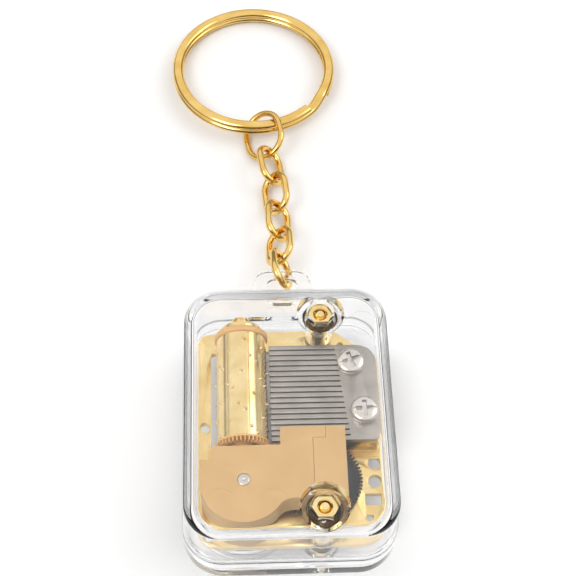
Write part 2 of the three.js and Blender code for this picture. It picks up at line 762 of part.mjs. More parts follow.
function contrateWheel() {
  const outline = gearShape(WHEEL_TEETH, wheelRadius, wheelPhase());
  const rim = slab(outline, GEAR_BOTTOM - 0.1, FACE_ROOT_Z).translate([...WHEEL, 0]);
  const dish = post(FACE_RADIUS - 0.5, GEAR_BOTTOM + 0.3, FACE_TIP_Z + 1, WHEEL);
  const hub = post(1.1, GEAR_BOTTOM - 0.5, FACE_ROOT_Z - 0.05, WHEEL);
  const bore = post(PIVOT_RADIUS + RUNNING_GAP, GEAR_BOTTOM - 1, FACE_TIP_Z + 1, WHEEL);
  const tooth = block(
    [-0.1, -FACE_RADIUS - 0.4, FACE_ROOT_Z - 0.1],
    [0.1, -FACE_RADIUS + 0.4, FACE_TIP_Z],
  );
  const teeth = Array.from({ length: FACE_TEETH }, (_, i) =>
    tooth.rotate([0, 0, (i * 360) / FACE_TEETH]).translate([...WHEEL, 0]),
  );
  return cut(join(cut(rim, dish), hub, ...teeth), bore);
}

function contratePin() {
  const profile = [
    [0, PLATE_BOTTOM],
    [PIVOT_RADIUS, PLATE_BOTTOM],
    [PIVOT_RADIUS, FACE_ROOT_Z],
    [PIVOT_HEAD_RADIUS, FACE_ROOT_Z],
    [PIVOT_HEAD_RADIUS, FACE_ROOT_Z + PIVOT_HEAD_HEIGHT],
    [0, FACE_ROOT_Z + PIVOT_HEAD_HEIGHT],
  ];
  return turned(profile, WHEEL, SMALL_SIDES);
}

/** The governor's spindle, with its pinion over the wheel's front face teeth. */
function governorSpindle() {
  const axis = [WHEEL[0], SPINDLE_Z];
  const shaft = rodAlongY(SPINDLE_RADIUS, SPINDLE_FRONT, SPINDLE_REAR, axis);
  const pinionY = WHEEL[1] - FACE_RADIUS;
  const teeth = new THREE.Shape();
  for (let i = 0; i < PINION_TEETH; i++) {
    const pitch = TURN / PINION_TEETH;
    const middle = -TURN / 4 + (i + 0.5) * pitch;
    const corners = [[-0.2, -0.3], [-0.1, 0.16], [0.1, 0.16], [0.2, -0.3]];
    corners.forEach(([share, height], corner) => {
      const angle = middle + share * pitch;
      const reach = pinionRadius + height;
      const point = [reach * Math.cos(angle), reach * Math.sin(angle)];
      if (i === 0 && corner === 0) teeth.moveTo(...point);
      else teeth.lineTo(...point);
    });
  }
  const pinion = slab(teeth, -0.4, 0.4).rotate([90, 0, 0]).translate([axis[0], pinionY, axis[1]]);
  const carrier = rodAlongY(0.75, BRAKE_FRONT - 0.5, BRAKE_FRONT - 0.1, axis);
  return join(shaft, pinion, carrier);
}

/** One of two curved weights that fly outwards against the inside of the brake drum. */
function governorWeight(side) {
  const axis = [WHEEL[0], SPINDLE_Z];
  const ring = turnedAlongY([
    [0.55, BRAKE_FRONT - 0.08],
    [BRAKE_INNER - 0.15, BRAKE_FRONT - 0.08],
    [BRAKE_INNER - 0.15, BRAKE_REAR - 0.3],
    [0.55, BRAKE_REAR - 0.3],
    [0.55, BRAKE_FRONT - 0.08],
  ], axis, 20);
  const keep = block(
    [side > 0 ? 0.2 : -3, BRAKE_FRONT - 1, -3],
    [side > 0 ? 3 : -0.2, BRAKE_REAR + 1, 3],
  ).translate([axis[0], 0, axis[1]]);
  return ring.intersect(keep);
}

function brakeDrum() {
  const axis = [WHEEL[0], SPINDLE_Z];
  const hole = SPINDLE_RADIUS + RUNNING_GAP;
  return turnedAlongY([
    [BRAKE_INNER, BRAKE_FRONT],
    [BRAKE_OUTER, BRAKE_FRONT],
    [BRAKE_OUTER, BRAKE_REAR],
    [hole, BRAKE_REAR],
    [hole, BRAKE_REAR - 0.2],
    [BRAKE_INNER, BRAKE_REAR - 0.2],
    [BRAKE_INNER, BRAKE_FRONT],
  ], axis, 20);
}

// ---------------------------------------------------------------- covers

/** Outline of both covers together, seen from above. */
function coverOutline() {
  const [x, y] = ARBOR;
  const meetX = x + HOUSING_OUTER * Math.cos(HOUSING_SWEEP);
  const meetY = y - HOUSING_OUTER * Math.sin(HOUSING_SWEEP);
  const shape = new THREE.Shape();
  shape.moveTo(COVER_LEFT, HOUSING_REAR);
  shape.lineTo(COVER_LEFT, COVER_REAR - 0.4);
  shape.lineTo(COVER_LEFT + 0.4, COVER_REAR);
  shape.lineTo(COVER_RIGHT, COVER_REAR);
  shape.lineTo(COVER_RIGHT, COVER_FRONT);
  shape.lineTo(0.4, COVER_FRONT);
  shape.quadraticCurveTo(-0.8, COVER_FRONT, meetX, meetY);
  shape.absarc(x, y, HOUSING_OUTER, -HOUSING_SWEEP, -TURN / 2, true);
  shape.lineTo(x - HOUSING_OUTER, -7.9);
  shape.lineTo(-12.9, -7.9);
  shape.lineTo(-12.9, HOUSING_REAR - 0.8);
  shape.lineTo(-12.1, HOUSING_REAR);
  return shape;
}

/** Outline of the governor cover, grown by the given amount along the stepped seam. */
function governorOutline(grow) {
  return roundedPolygon([
    [5.9 - grow, COVER_REAR + grow],
    [5.9 - grow, -4.5 + grow],
    [3.8 - grow, -4.5 + grow],
    [3.8 - grow, -12.6 - grow],
    [6.1 - grow, -12.6 - grow],
    [6.1 - grow, COVER_FRONT - grow],
    [COVER_RIGHT + grow, COVER_FRONT - grow],
    [COVER_RIGHT + grow, COVER_REAR + grow],
  ]);
}

/** The hollow box and drum inside the covers, open below. */
function coverCavity() {
  const box = block(
    [COVER_LEFT + COVER_WALL, COVER_FRONT + COVER_FRONT_WALL, 0],
    [COVER_RIGHT - COVER_WALL, COVER_REAR - COVER_WALL, COVER_UNDER],
  );
  const drum = cut(
    post(HOUSING_INNER, 0, COVER_UNDER, ARBOR),
    block([-16, HOUSING_REAR - COVER_WALL, 0], [COVER_LEFT + COVER_WALL, 5, CASE_TOP]),
  );
  const combRoom = block([-5, COMB_CLEAR_Y, 0], [16, 0, COMB_CLEAR_Z]);
  const wheelRoom = post(wheelRadius + ADDENDUM + 0.2, 0, COVER_BOTTOM, WHEEL);
  return join(box, drum, combRoom, wheelRoom, nutBoss(CASE_SCREWS.front, BOSS_GAP));
}

function gearCover() {
  const [x, y] = ARBOR;
  const hood = slab(coverOutline(), COVER_BOTTOM, COVER_TOP, COVER_EDGE);
  const skirt = cut(
    post(HOUSING_OUTER, PLATE_TOP, COVER_BOTTOM + 1, ARBOR),
    post(HOUSING_INNER, 0, CASE_TOP, ARBOR),
    block([x - 4.6, y, 0], [x + 9, y + 9, CASE_TOP]),
    block([x + 4, y - 9, 0], [x + 9, y + 9, CASE_TOP]),
  );
  const tools = [
    coverCavity(),
    slab(governorOutline(SEAM_GAP), 0, CASE_TOP),
    post(ARBOR_RADIUS + RUNNING_GAP, 0, CASE_TOP, ARBOR),
    rodAlongY(SHAFT_RADIUS + RUNNING_GAP, -8, 0, [CYLINDER_X, CYLINDER_Z]),
    rodAlongY(SPINDLE_RADIUS + RUNNING_GAP, -16, -12, [WHEEL[0], SPINDLE_Z]),
  ];
  return cut(join(hood, skirt), ...tools);
}

function governorCover() {
  const lid = cut(slab(governorOutline(0), COVER_BOTTOM, COVER_TOP, COVER_EDGE), coverCavity());
  const left = WHEEL[0] - 1.2;
  const right = WHEEL[0] + 1.2;
  const top = COVER_UNDER + 0.2;
  const bearingWall = block([left, SPINDLE_REAR - 0.5, COVER_BOTTOM - 0.1], [right, -4.6, top]);
  const wallBore = rodAlongY(SPINDLE_RADIUS + RUNNING_GAP, -6, -2, [WHEEL[0], SPINDLE_Z]);
  const drumSeat = block([left, BRAKE_REAR, COVER_BOTTOM], [right, BRAKE_REAR + 0.5, top]);
  return cut(join(lid, bearingWall, drumSeat), wallBore);
}

// ---------------------------------------------------------------- winding arbor, key and springs

function windingArbor() {
  const profile = [
    [0, KEY_SOCKET_BOTTOM],
    [ARBOR_RADIUS - 0.1, KEY_SOCKET_BOTTOM],
    [ARBOR_RADIUS - 0.1, KEY_HUB_TOP + 0.3],
    [ARBOR_RADIUS, KEY_HUB_TOP + 0.4],
    [ARBOR_RADIUS, ARBOR_TOP - 0.15],
    [ARBOR_RADIUS - 0.15, ARBOR_TOP],
    [0, ARBOR_TOP],
  ];
  return turned(profile, ARBOR);
}

/** A low butterfly key that turns inside the well under the case. */
function windingKey() {
  const [x, y] = ARBOR;
  const bow = new THREE.Shape();
  const wing = KEY_SPAN / 2;
  bow.moveTo(-wing, KEY_BOTTOM + 1.2);
  bow.quadraticCurveTo(-wing, KEY_BOTTOM, -wing + KEY_END, KEY_BOTTOM);
  bow.lineTo(wing - KEY_END, KEY_BOTTOM);
  bow.quadraticCurveTo(wing, KEY_BOTTOM, wing, KEY_BOTTOM + 1.2);
  bow.quadraticCurveTo(wing, KEY_BOW_TOP, wing - KEY_END, KEY_BOW_TOP);
  bow.lineTo(-wing + KEY_END, KEY_BOW_TOP);
  bow.quadraticCurveTo(-wing, KEY_BOW_TOP, -wing, KEY_BOTTOM + 1.2);
  const plate = slab(bow, -KEY_THICKNESS / 2, KEY_THICKNESS / 2)
    .rotate([90, 0, 0])
    .translate([x, y, 0]);
  const hub = post(KEY_HUB_RADIUS, KEY_BOTTOM + 0.5, KEY_HUB_TOP, ARBOR);
  const socket = ARBOR_RADIUS - 0.1 + FITTED_GAP;
  const bore = post(socket, KEY_SOCKET_BOTTOM - FITTED_GAP, KEY_HUB_TOP + 1, ARBOR);
  return cut(join(plate, hub), bore);
}

/** The wound spring inside the drum of the gear cover. */
function mainspring() {
  const half = MAINSPRING_STRIP / 2;
  const strip = rectangle(-half, -MAINSPRING_HEIGHT / 2, half, MAINSPRING_HEIGHT / 2);
  const rate = (MAINSPRING_OUTER - MAINSPRING_INNER) / (MAINSPRING_TURNS * TURN);
  const path = (angle) => [MAINSPRING_INNER + 0.1 + rate * angle, MAINSPRING_MIDDLE_Z];
  return bentStrip(strip, 0, MAINSPRING_TURNS * TURN, MAINSPRING_TURNS * 16, path)
    .translate([...ARBOR, 0]);
}

/** The wrap spring that lets the arbor turn one way inside the great gear. */
function clutchSpring() {
  const half = CLUTCH_WIRE / 2;
  const wire = rectangle(-half, -half, half, half);
  const path = (angle) => [CLUTCH_RADIUS, CLUTCH_BOTTOM + (CLUTCH_PITCH * angle) / TURN];
  return bentStrip(wire, 0, CLUTCH_TURNS * TURN, CLUTCH_TURNS * 14, path)
    .translate([...ARBOR, 0]);
}

// ---------------------------------------------------------------- chain and rings

/** A link in the XY plane, drawn out along Y. */
function linkGeometry(width, length, wire) {
  const steps = 20;
  const geometry = new THREE.TorusGeometry((width - wire) / 2, wire / 2, 8, steps);
  geometry.rotateZ(TURN / (2 * steps));
  const position = geometry.getAttribute("position");
  for (let i = 0; i < position.count; i++) {
    const y = position.getY(i);
    position.setY(i, y + (Math.sign(y) * (length - width)) / 2);
  }
  return geometry;
}

function poseRotation({ pitch, yaw, roll }) {
  return new THREE.Euler(pitch * DEG, roll * DEG, yaw * DEG, "ZXY");
}

/** Hangs a link on a hook point; returns the mesh's centre and the link's own far hook point. */
function hang(hook, pose, length, wire, reach) {
  const along = new THREE.Vector3(0, 1, 0).applyEuler(poseRotation(pose));
  const half = (length - wire) / 2;
  const centre = hook.clone().addScaledVector(along, half - reach);
  return { centre, far: centre.clone().addScaledVector(along, half) };
}

function jumpRingSolid() {
  const ring = solid(linkGeometry(JUMP_WIDTH, JUMP_LENGTH, JUMP_WIRE));
  const gap = block([-JUMP_GAP / 2, 0, -2], [JUMP_GAP / 2, JUMP_LENGTH, 2]);
  return cut(ring, gap.rotate([0, 0, JUMP_GAP_ANGLE]));
}

/** Two turns of flat band: a lower layer, a step up at the crossover, and an upper layer. */
function keyRingSolid() {
  const half = RING_BAND / 2;
  const high = RING_LAYER / 2;
  const c = RING_CHAMFER;
  const section = roundedPolygon([
    [-half, -high + c], [-half + c, -high], [half - c, -high], [half, -high + c],
    [half, high - c], [half - c, high], [-half + c, high], [-half, high - c],
  ]);
  const level = RING_LAYER + RING_LAYER_GAP;
  const start = RING_CROSSOVER_END;
  const crossover = RING_CROSSOVER_START + TURN;
  const end = RING_CROSSOVER_START + 2 * TURN;
  const path = (angle) => {
    const share = (angle - crossover) / (RING_CROSSOVER_END - RING_CROSSOVER_START);
    return [RING_RADIUS, level * (THREE.MathUtils.smoothstep(share, 0.12, 0.88) - 0.5)];
  };
  return bentStrip(section, start, end, 84, path);
}

// ---------------------------------------------------------------- assembly

const part = new THREE.Group();
part.name = "keychain_music_box";

/** Adds a named mesh with its own material. */
function add(name, shape, { colour, roughness, metalness }) {
  const geometry = shape.isBufferGeometry ? shape : geometryOf(shape);
  const material = new THREE.MeshStandardMaterial({ color: colour, roughness, metalness });
  const mesh = new THREE.Mesh(geometry, material);
  mesh.name = name;
  part.add(mesh);
  return mesh;
}

const CLEAR = { colour: 0xf0f2f4, roughness: 0.05, metalness: 0 };
const GOLD = { colour: 0xe6bf62, roughness: 0.2, metalness: 1 };
const PLATED = { colour: 0xe9c878, roughness: 0.25, metalness: 1 };
const NICKEL = { colour: 0xc9c0b8, roughness: 0.3, metalness: 1 };
const STEEL = { colour: 0x9a9694, roughness: 0.45, metalness: 0.9 };
const TAN = { colour: 0xdeb680, roughness: 0.5, metalness: 0 };
const ORANGE = { colour: 0xe8b878, roughness: 0.5, metalness: 0 };
const BLACK = { colour: 0x26262a, roughness: 0.5, metalness: 0 };

add("case_cover", caseCover(), CLEAR);
add("case_base", caseBase(), CLEAR);
for (const [place, centre] of Object.entries(CASE_SCREWS)) {
  add(`case_screw_${place}`, caseScrew(centre), GOLD);
  add(`case_nut_${place}`, caseNut(centre), GOLD);
}

add("bedplate", bedplate(), PLATED);
add("comb", comb(), STEEL);
for (const [place, centre] of Object.entries(COMB_SCREWS)) {
  add(`comb_screw_${place}`, combScrew(centre), NICKEL);
}

add("cylinder_drum", cylinderDrum(), PLATED);
add("cylinder_cap", cylinderCap(), ORANGE);
add("cylinder_gear", cylinderGear(), ORANGE);
add("cylinder_shaft", cylinderShaft(), NICKEL);
add("cylinder_bearing", cylinderBearing(), PLATED);

add("great_gear", greatGear(), BLACK);
add("contrate_wheel", contrateWheel(), BLACK);
add("contrate_pin", contratePin(), NICKEL);
add("governor_spindle", governorSpindle(), NICKEL);
add("governor_weight_left", governorWeight(-1), PLATED);
add("governor_weight_right", governorWeight(1), PLATED);
add("brake_drum", brakeDrum(), PLATED);
add("gear_cover", gearCover(), TAN);
add("governor_cover", governorCover(), TAN);

add("winding_arbor", windingArbor(), NICKEL);
add("winding_key", windingKey(), GOLD);
add("mainspring", mainspring(), STEEL);
add("clutch_spring", clutchSpring(), STEEL);

const barY = (EYE_Y + EYE_LENGTH / 2 + LUG_FAR_Y) / 2;
let hook = new THREE.Vector3(0, barY, (LUG_BOTTOM + LUG_TOP) / 2);
let reach = BAR_REACH;
LINK_POSES.forEach((pose, i) => {
  const link = add(`chain_link_${i + 1}`, linkGeometry(LINK_WIDTH, LINK_LENGTH, WIRE), GOLD);
  const { centre, far } = hang(hook, pose, LINK_LENGTH, WIRE, reach);
  link.position.copy(centre);
  link.rotation.copy(poseRotation(pose));
  hook = far;
  reach = WIRE + LINK_SLACK;
});

const jumpRing = add("jump_ring", jumpRingSolid(), GOLD);
const jump = hang(hook, JUMP_POSE, JUMP_LENGTH, JUMP_WIRE, reach);
jumpRing.position.copy(jump.centre);
jumpRing.rotation.copy(poseRotation(JUMP_POSE));

const keyRing = add("key_ring", keyRingSolid(), GOLD);
keyRing.rotation.set(-RING_PITCH, 0, 0);
const ringReach = RING_RADIUS - RING_BEHIND_WIRE;
keyRing.position.set(
  jump.far.x - RING_LEFT_OF_WIRE,
  jump.far.y + ringReach * Math.cos(RING_PITCH),
  jump.far.z - ringReach * Math.sin(RING_PITCH),
);

export default part;
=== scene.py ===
"""A clear key-chain music box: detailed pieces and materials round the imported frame."""

import json
from math import cos, pi, radians, sin, tau

import bmesh
import bpy
from mathutils import Matrix, Vector


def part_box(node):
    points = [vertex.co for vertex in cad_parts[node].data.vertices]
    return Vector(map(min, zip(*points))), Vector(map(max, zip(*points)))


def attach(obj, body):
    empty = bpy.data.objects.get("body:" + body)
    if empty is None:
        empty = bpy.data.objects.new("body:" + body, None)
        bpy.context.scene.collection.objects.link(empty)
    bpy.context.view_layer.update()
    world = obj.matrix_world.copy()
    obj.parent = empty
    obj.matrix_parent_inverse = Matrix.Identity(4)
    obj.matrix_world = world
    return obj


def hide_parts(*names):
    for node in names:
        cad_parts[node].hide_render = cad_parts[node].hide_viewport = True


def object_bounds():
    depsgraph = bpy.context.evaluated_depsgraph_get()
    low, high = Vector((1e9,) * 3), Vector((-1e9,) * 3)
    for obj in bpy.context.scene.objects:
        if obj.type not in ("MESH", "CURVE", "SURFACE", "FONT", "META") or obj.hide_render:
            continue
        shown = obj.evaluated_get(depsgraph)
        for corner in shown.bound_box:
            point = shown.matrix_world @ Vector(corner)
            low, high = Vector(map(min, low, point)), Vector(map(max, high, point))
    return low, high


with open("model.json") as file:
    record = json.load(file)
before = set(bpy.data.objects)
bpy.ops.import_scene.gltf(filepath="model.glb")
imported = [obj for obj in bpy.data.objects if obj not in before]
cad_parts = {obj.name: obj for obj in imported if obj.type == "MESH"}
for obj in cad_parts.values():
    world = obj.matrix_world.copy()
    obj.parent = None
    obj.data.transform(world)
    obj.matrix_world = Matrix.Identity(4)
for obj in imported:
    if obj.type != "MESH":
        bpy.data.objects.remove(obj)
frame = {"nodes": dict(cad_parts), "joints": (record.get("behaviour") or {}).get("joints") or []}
CAD_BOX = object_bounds()

MM = 0.001

# Places read from the frame, in millimetres


def box_mm(node):
    low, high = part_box(node)
    return low / MM, high / MM


def centre_mm(node):
    low, high = box_mm(node)
    return (low + high) / 2


drum_low, drum_high = box_mm("cylinder_drum")
cap_centre = centre_mm("cylinder_cap")
AXIS_X = cap_centre.x
AXIS_Z = cap_centre.z
ARBOR = centre_mm("winding_arbor").xy
WHEEL = centre_mm("contrate_pin").xy
SCREWS = {place: centre_mm("case_nut_" + place).xy for place in ("front", "rear")}
COMB_SCREWS = {place: centre_mm("comb_screw_" + place).xy for place in ("upper", "lower")}

# Case
CORNER_STEPS = 14
SEAM_Z = 4.0
SEAM_GAP = 0.03
FLANGE_TOP = 7.0
CASE_TOP = 18.0
CAVITY_TOP = 16.4
FLANGE = (35.3, 45.0, 6.7)
BODY = (34.0, 43.8, 6.0)
CAVITY = (31.4, 41.2, 4.7)
FLOOR_TOP = 1.8
PLATE_BOTTOM = 5.4
PLATE_TOP = 6.6
SCREW_BORE = 1.15
POCKET_FLOOR = 15.1
NUT_BOTTOM = 15.12
NUT_TOP = 16.7
KEY_WELL_RADIUS = 7.3
EJECTOR_RADIUS = 2.2
EJECTOR_DEPTH = 0.06
EJECTOR_MARKS = ((-11.1, -15.8), (-2.7, -16.0), (12.2, -16.2), (12.9, 15.2), (-1.85, 16.3))

# Covers
COVER_BOTTOM = 8.8
COVER_UNDER = 13.3
COVER_TOP = 14.5
HOUSING_OUTER = 7.05
HOUSING_INNER = 6.75
COVER_REAR = -2.5
COVER_FRONT = -14.6
COVER_RIGHT = 9.05
ARBOR_BORE = 1.05

# Comb
COMB_BOTTOM = 11.0
COMB_TOP = 11.9
COMB_TEETH = 18
COMB_SLOT = 0.26
COMB_LEFT = -2.8
COMB_RIGHT = 15.15
COMB_FRONT = -3.9
COMB_REAR = 13.4
TOOTH_PITCH = (COMB_REAR - COMB_FRONT + COMB_SLOT) / COMB_TEETH

# Cylinder: a drum rolled from sheet, its seam set in degrees round from the top
DRUM_RADIUS = 4.2
DRUM_BORE = 3.8
SEAM_ANGLE = 16
SEAM_HALF_WIDTH = 0.08
SHAFT_BORE = 0.62
PINS_PER_ROW = 3

# Gears
MODULE = 0.194
GREAT_TEETH = 66
WHEEL_TEETH = 67
CROWN_TEETH = 40
FACE_TEETH = 40
FACE_RADIUS = 4.0
WHEEL_ANGLE = radians(10)
# Each tooth's corners: share of a pitch from its middle, height from the pitch circle
TOOTH_SHAPE = (
    (-0.27, -0.42), (-0.12, 0.15), (-0.08, 0.2), (0.08, 0.2), (0.12, 0.15), (0.27, -0.42),
)
GREAT_RADIUS = MODULE * GREAT_TEETH / 2
WHEEL_RADIUS = MODULE * WHEEL_TEETH / 2

# Chain and rings
LINK_WIDTH = 6.6
LINK_LENGTH = 9.2
LINK_WIRE = 1.35
JUMP_WIDTH = 9.0
JUMP_LENGTH = 10.8
JUMP_WIRE = 1.25
# Drawn a little thinner than its solid, to stay clear of the key ring at that hinge's limit
JUMP_DRAWN_WIRE = 1.20
RING_RADIUS = 15.2
RING_BAND = 2.1
RING_LAYER = 1.2
RING_LEVEL = 1.24
RING_PITCH = radians(3.6)
RING_CHAMFER = 0.45
# Where the lower turn's free end and the step between the turns lie
RING_CROSSOVER_START = radians(-46)
RING_CROSSOVER_SWEEP = radians(22)
JUMP_SLIT_ANGLE = radians(-24)


# ------------------------------------------------------------ mesh building, in millimetres


def mesh_object(name, points, faces):
    mesh = bpy.data.meshes.new(name)
    mesh.from_pydata([tuple(point) for point in points], [], faces)
    work = bmesh.new()
    work.from_mesh(mesh)
    bmesh.ops.remove_doubles(work, verts=work.verts, dist=1e-5)
    bmesh.ops.recalc_face_normals(work, faces=work.faces)
    work.to_mesh(mesh)
    work.free()
    obj = bpy.data.objects.new(name, mesh)
    bpy.context.scene.collection.objects.link(obj)
    return obj


def loft(name, loops, ring=False):
    """Skins loops of equally many points; a ring joins the last loop to the first."""
    count = len(loops[0])
    points = [point for loop in loops for point in loop]
    faces = []
    spans = len(loops) if ring else len(loops) - 1
    for i in range(spans):
        a, b = i * count, (i + 1) % len(loops) * count
        for j in range(count):
            k = (j + 1) % count
            faces.append((a + j, a + k, b + k, b + j))
    if not ring:
        faces.append(tuple(range(count)))
        faces.append(tuple(range(len(points) - count, len(points))))
    return mesh_object(name, points, faces)


def prism(name, outline, bottom, top):
    return loft(name, [[(x, y, z) for x, y in outline] for z in (bottom, top)])


def block(name, low, high):
    (x0, y0, z0), (x1, y1, z1) = low, high
    return prism(name, [(x0, y0), (x1, y0), (x1, y1), (x0, y1)], z0, z1)


def turned(name, profile, centre, along="Z", steps=64, ring=False):
    """Turns (radius, height) points about an axis along Z at (x, y), or along Y at (x, z)."""
    loops = []
    for radius, height in profile:
        radius = max(radius, 1e-4)
        loop = []
        for i in range(steps):
            a, b = radius * cos(i * tau / steps), radius * sin(i * tau / steps)
            if along == "Z":
                loop.append((centre[0] + a, centre[1] + b, height))
            else:
                loop.append((centre[0] + a, height, centre[1] + b))
        loops.append(loop)
    return loft(name, loops, ring)


def post(radius, bottom, top, centre, along="Z", steps=48):
    return turned("tool", [(radius, bottom), (radius, top)], centre, along, steps)


def arc(centre, radius, start, end, steps):
    """Points from one angle to another, in degrees."""
    angles = [radians(start + (end - start) * i / steps) for i in range(steps + 1)]
    return [(centre[0] + radius * cos(a), centre[1] + radius * sin(a)) for a in angles]


def rounded_rectangle(width, length, radius, steps=CORNER_STEPS):
    x, y = width / 2 - radius, length / 2 - radius
    corners = [((x, y), 0), ((-x, y), 90), ((-x, -y), 180), ((x, -y), 270)]
    return [p for centre, start in corners for p in arc(centre, radius, start, start + 90, steps)]


def rounded_polygon(corners, steps=8):
    """Corners are (x, y) or, rounded, (x, y, radius)."""
    outline = []
    for i, corner in enumerate(corners):
        point = Vector(corner[:2])
        if len(corner) == 2:
            outline.append(tuple(point))
            continue
        before = Vector(corners[i - 1][:2]) - point
        after = Vector(corners[(i + 1) % len(corners)][:2]) - point
        a = point + before.normalized() * corner[2]
        b = point + after.normalized() * corner[2]
        for j in range(steps + 1):
            t = j / steps
            outline.append(tuple(a * (1 - t) ** 2 + point * 2 * t * (1 - t) + b * t**2))
    return outline


def section(size, z, inset=0.0):
    """A rounded rectangle at a height, drawn in by an inset."""
    width, length, radius = size
    outline = rounded_rectangle(width - 2 * inset, length - 2 * inset, radius - inset)
    return [(x, y, z) for x, y in outline]


def fillet(size, z, radius, upwards, steps=6):
    """Sections that round an edge from the wall to the flat at z."""
    loops = []
    for i in range(steps + 1):
        angle = i / steps * pi / 2
        drop = radius * (1 - sin(angle))
        inset = radius * (1 - cos(angle))
        loops.append(section(size, z - drop if upwards else z + drop, inset))
    return loops


def apply_modifiers(obj):
    graph = bpy.context.evaluated_depsgraph_get()
    mesh = bpy.data.meshes.new_from_object(obj.evaluated_get(graph))
    old = obj.data
    obj.modifiers.clear()
    obj.data = mesh
    bpy.data.meshes.remove(old)
    return obj


def boolean(obj, operation, *tools):
    for tool in tools:
        modifier = obj.modifiers.new("join", "BOOLEAN")
        modifier.operation = operation
        modifier.solver = "EXACT"
        modifier.object = tool
        apply_modifiers(obj)
        bpy.data.objects.remove(tool)
    return obj


def union(obj, *tools):
    return boolean(obj, "UNION", *tools)


def cut(obj, *tools):
    return boolean(obj, "DIFFERENCE", *tools)


def merged(name, objects):
    """Several separate solids in one mesh."""
    work = bmesh.new()
    for obj in objects:
        work.from_mesh(obj.data)
        bpy.data.objects.remove(obj)
    mesh = bpy.data.meshes.new(name)
    work.to_mesh(mesh)
    work.free()
    out = bpy.data.objects.new(name, mesh)
    bpy.context.scene.collection.objects.link(out)
    return out


def soften(obj, width, segments=2, angle=35):
    """Rounds the sharp edges of a moulded, cast or stamped piece."""
    modifier = obj.modifiers.new("edge", "BEVEL")
    modifier.width = width
    modifier.segments = segments
    modifier.limit_method = "ANGLE"
    modifier.angle_limit = radians(angle)
    modifier.use_clamp_overlap = True
    return apply_modifiers(obj)


def finish_piece(obj, name, body, material, nodes, smooth=32):
    """Names a piece, scales it to metres, shades it, gives it its material, attaches it to its body, and
    hides the nodes it replaces.
    """
    obj.name = name
    obj.data.name = name
    obj.data.transform(Matrix.Scale(MM, 4))
    obj.data.shade_smooth()
    obj.data.set_sharp_from_angle(angle=radians(smooth))
    obj.data.materials.clear()
    obj.data.materials.append(material)
    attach(obj, body)
    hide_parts(*nodes)
    return obj


# ------------------------------------------------------------ materials


def node_material(name):
    material = bpy.data.materials.new(name)
    material.use_nodes = True
    nodes = material.node_tree.nodes
    return material, nodes, material.node_tree.links, nodes["Principled BSDF"]


def object_noise(nodes, links, scale, detail=4.0, stretch=(1, 1, 1)):
    """Noise fixed to the object; scale is in features per metre."""
    place = nodes.new("ShaderNodeTexCoord")
    mapping = nodes.new("ShaderNodeMapping")
    mapping.inputs["Scale"].default_value = stretch
    noise = nodes.new("ShaderNodeTexNoise")
    noise.inputs["Scale"].default_value = scale
    noise.inputs["Detail"].default_value = detail
    links.new(place.outputs["Object"], mapping.inputs["Vector"])
    links.new(mapping.outputs["Vector"], noise.inputs["Vector"])
    return noise.outputs["Fac"]


def spread(nodes, links, value, low, high):
    ramp = nodes.new("ShaderNodeMapRange")
    ramp.inputs["To Min"].default_value = low
    ramp.inputs["To Max"].default_value = high
    links.new(value, ramp.inputs["Value"])
    return ramp.outputs["Result"]


def bump(nodes, links, bsdf, value, strength, distance):
    node = nodes.new("ShaderNodeBump")
    node.inputs["Strength"].default_value = strength
    node.inputs["Distance"].default_value = distance
    links.new(value, node.inputs["Height"])
    links.new(node.outputs["Normal"], bsdf.inputs["Normal"])


def two_tone(nodes, links, bsdf, value, dark, light):
    ramp = nodes.new("ShaderNodeValToRGB")
    ramp.color_ramp.elements[0].position = 0.3
    ramp.color_ramp.elements[0].color = (*dark, 1)
    ramp.color_ramp.elements[1].position = 0.7
    ramp.color_ramp.elements[1].color = (*light, 1)
    links.new(value, ramp.inputs["Fac"])
    links.new(ramp.outputs["Color"], bsdf.inputs["Base Color"])


def metal(name, dark, light, rough, grain, stretch=(1, 1, 1), relief=0.15):
    """Plated or ground metal: colour, gloss and a fine relief vary over the surface."""
    material, nodes, links, bsdf = node_material(name)
    bsdf.inputs["Metallic"].default_value = 1.0
    broad = object_noise(nodes, links, 260, 3.0)
    two_tone(nodes, links, bsdf, broad, dark, light)
    fine = object_noise(nodes, links, grain, 5.0, stretch)
    links.new(spread(nodes, links, fine, *rough), bsdf.inputs["Roughness"])
    bump(nodes, links, bsdf, fine, relief, 0.00002)
    return material


def plastic(name, dark, light, rough, relief=0.1):
    """Moulded opaque plastic with a faint flow pattern and a fine matt grain."""
    material, nodes, links, bsdf = node_material(name)
    flow = object_noise(nodes, links, 180, 3.0)
    two_tone(nodes, links, bsdf, flow, dark, light)
    grain = object_noise(nodes, links, 9000, 2.0)
    links.new(spread(nodes, links, grain, *rough), bsdf.inputs["Roughness"])
    bump(nodes, links, bsdf, grain, relief, 0.00001)
    return material


def clear_plastic():
    """Polished clear styrene with the slight waviness of a moulding."""
    material, nodes, links, bsdf = node_material("clear_styrene")
    bsdf.inputs["Base Color"].default_value = (0.99, 0.992, 0.995, 1)
    bsdf.inputs["Transmission Weight"].default_value = 1.0
    bsdf.inputs["IOR"].default_value = 1.45
    waves = object_noise(nodes, links, 90, 1.0)
    links.new(spread(nodes, links, waves, 0.0, 0.03), bsdf.inputs["Roughness"])
    bump(nodes, links, bsdf, waves, 0.04, 0.0002)
    open_shader = nodes.new("ShaderNodeBsdfTransparent")
    path = nodes.new("ShaderNodeLightPath")
    mix = nodes.new("ShaderNodeMixShader")
    links.new(path.outputs["Is Shadow Ray"], mix.inputs["Fac"])
    links.new(bsdf.outputs["BSDF"], mix.inputs[1])
    links.new(open_shader.outputs["BSDF"], mix.inputs[2])
    links.new(mix.outputs["Shader"], nodes["Material Output"].inputs["Surface"])
    return material


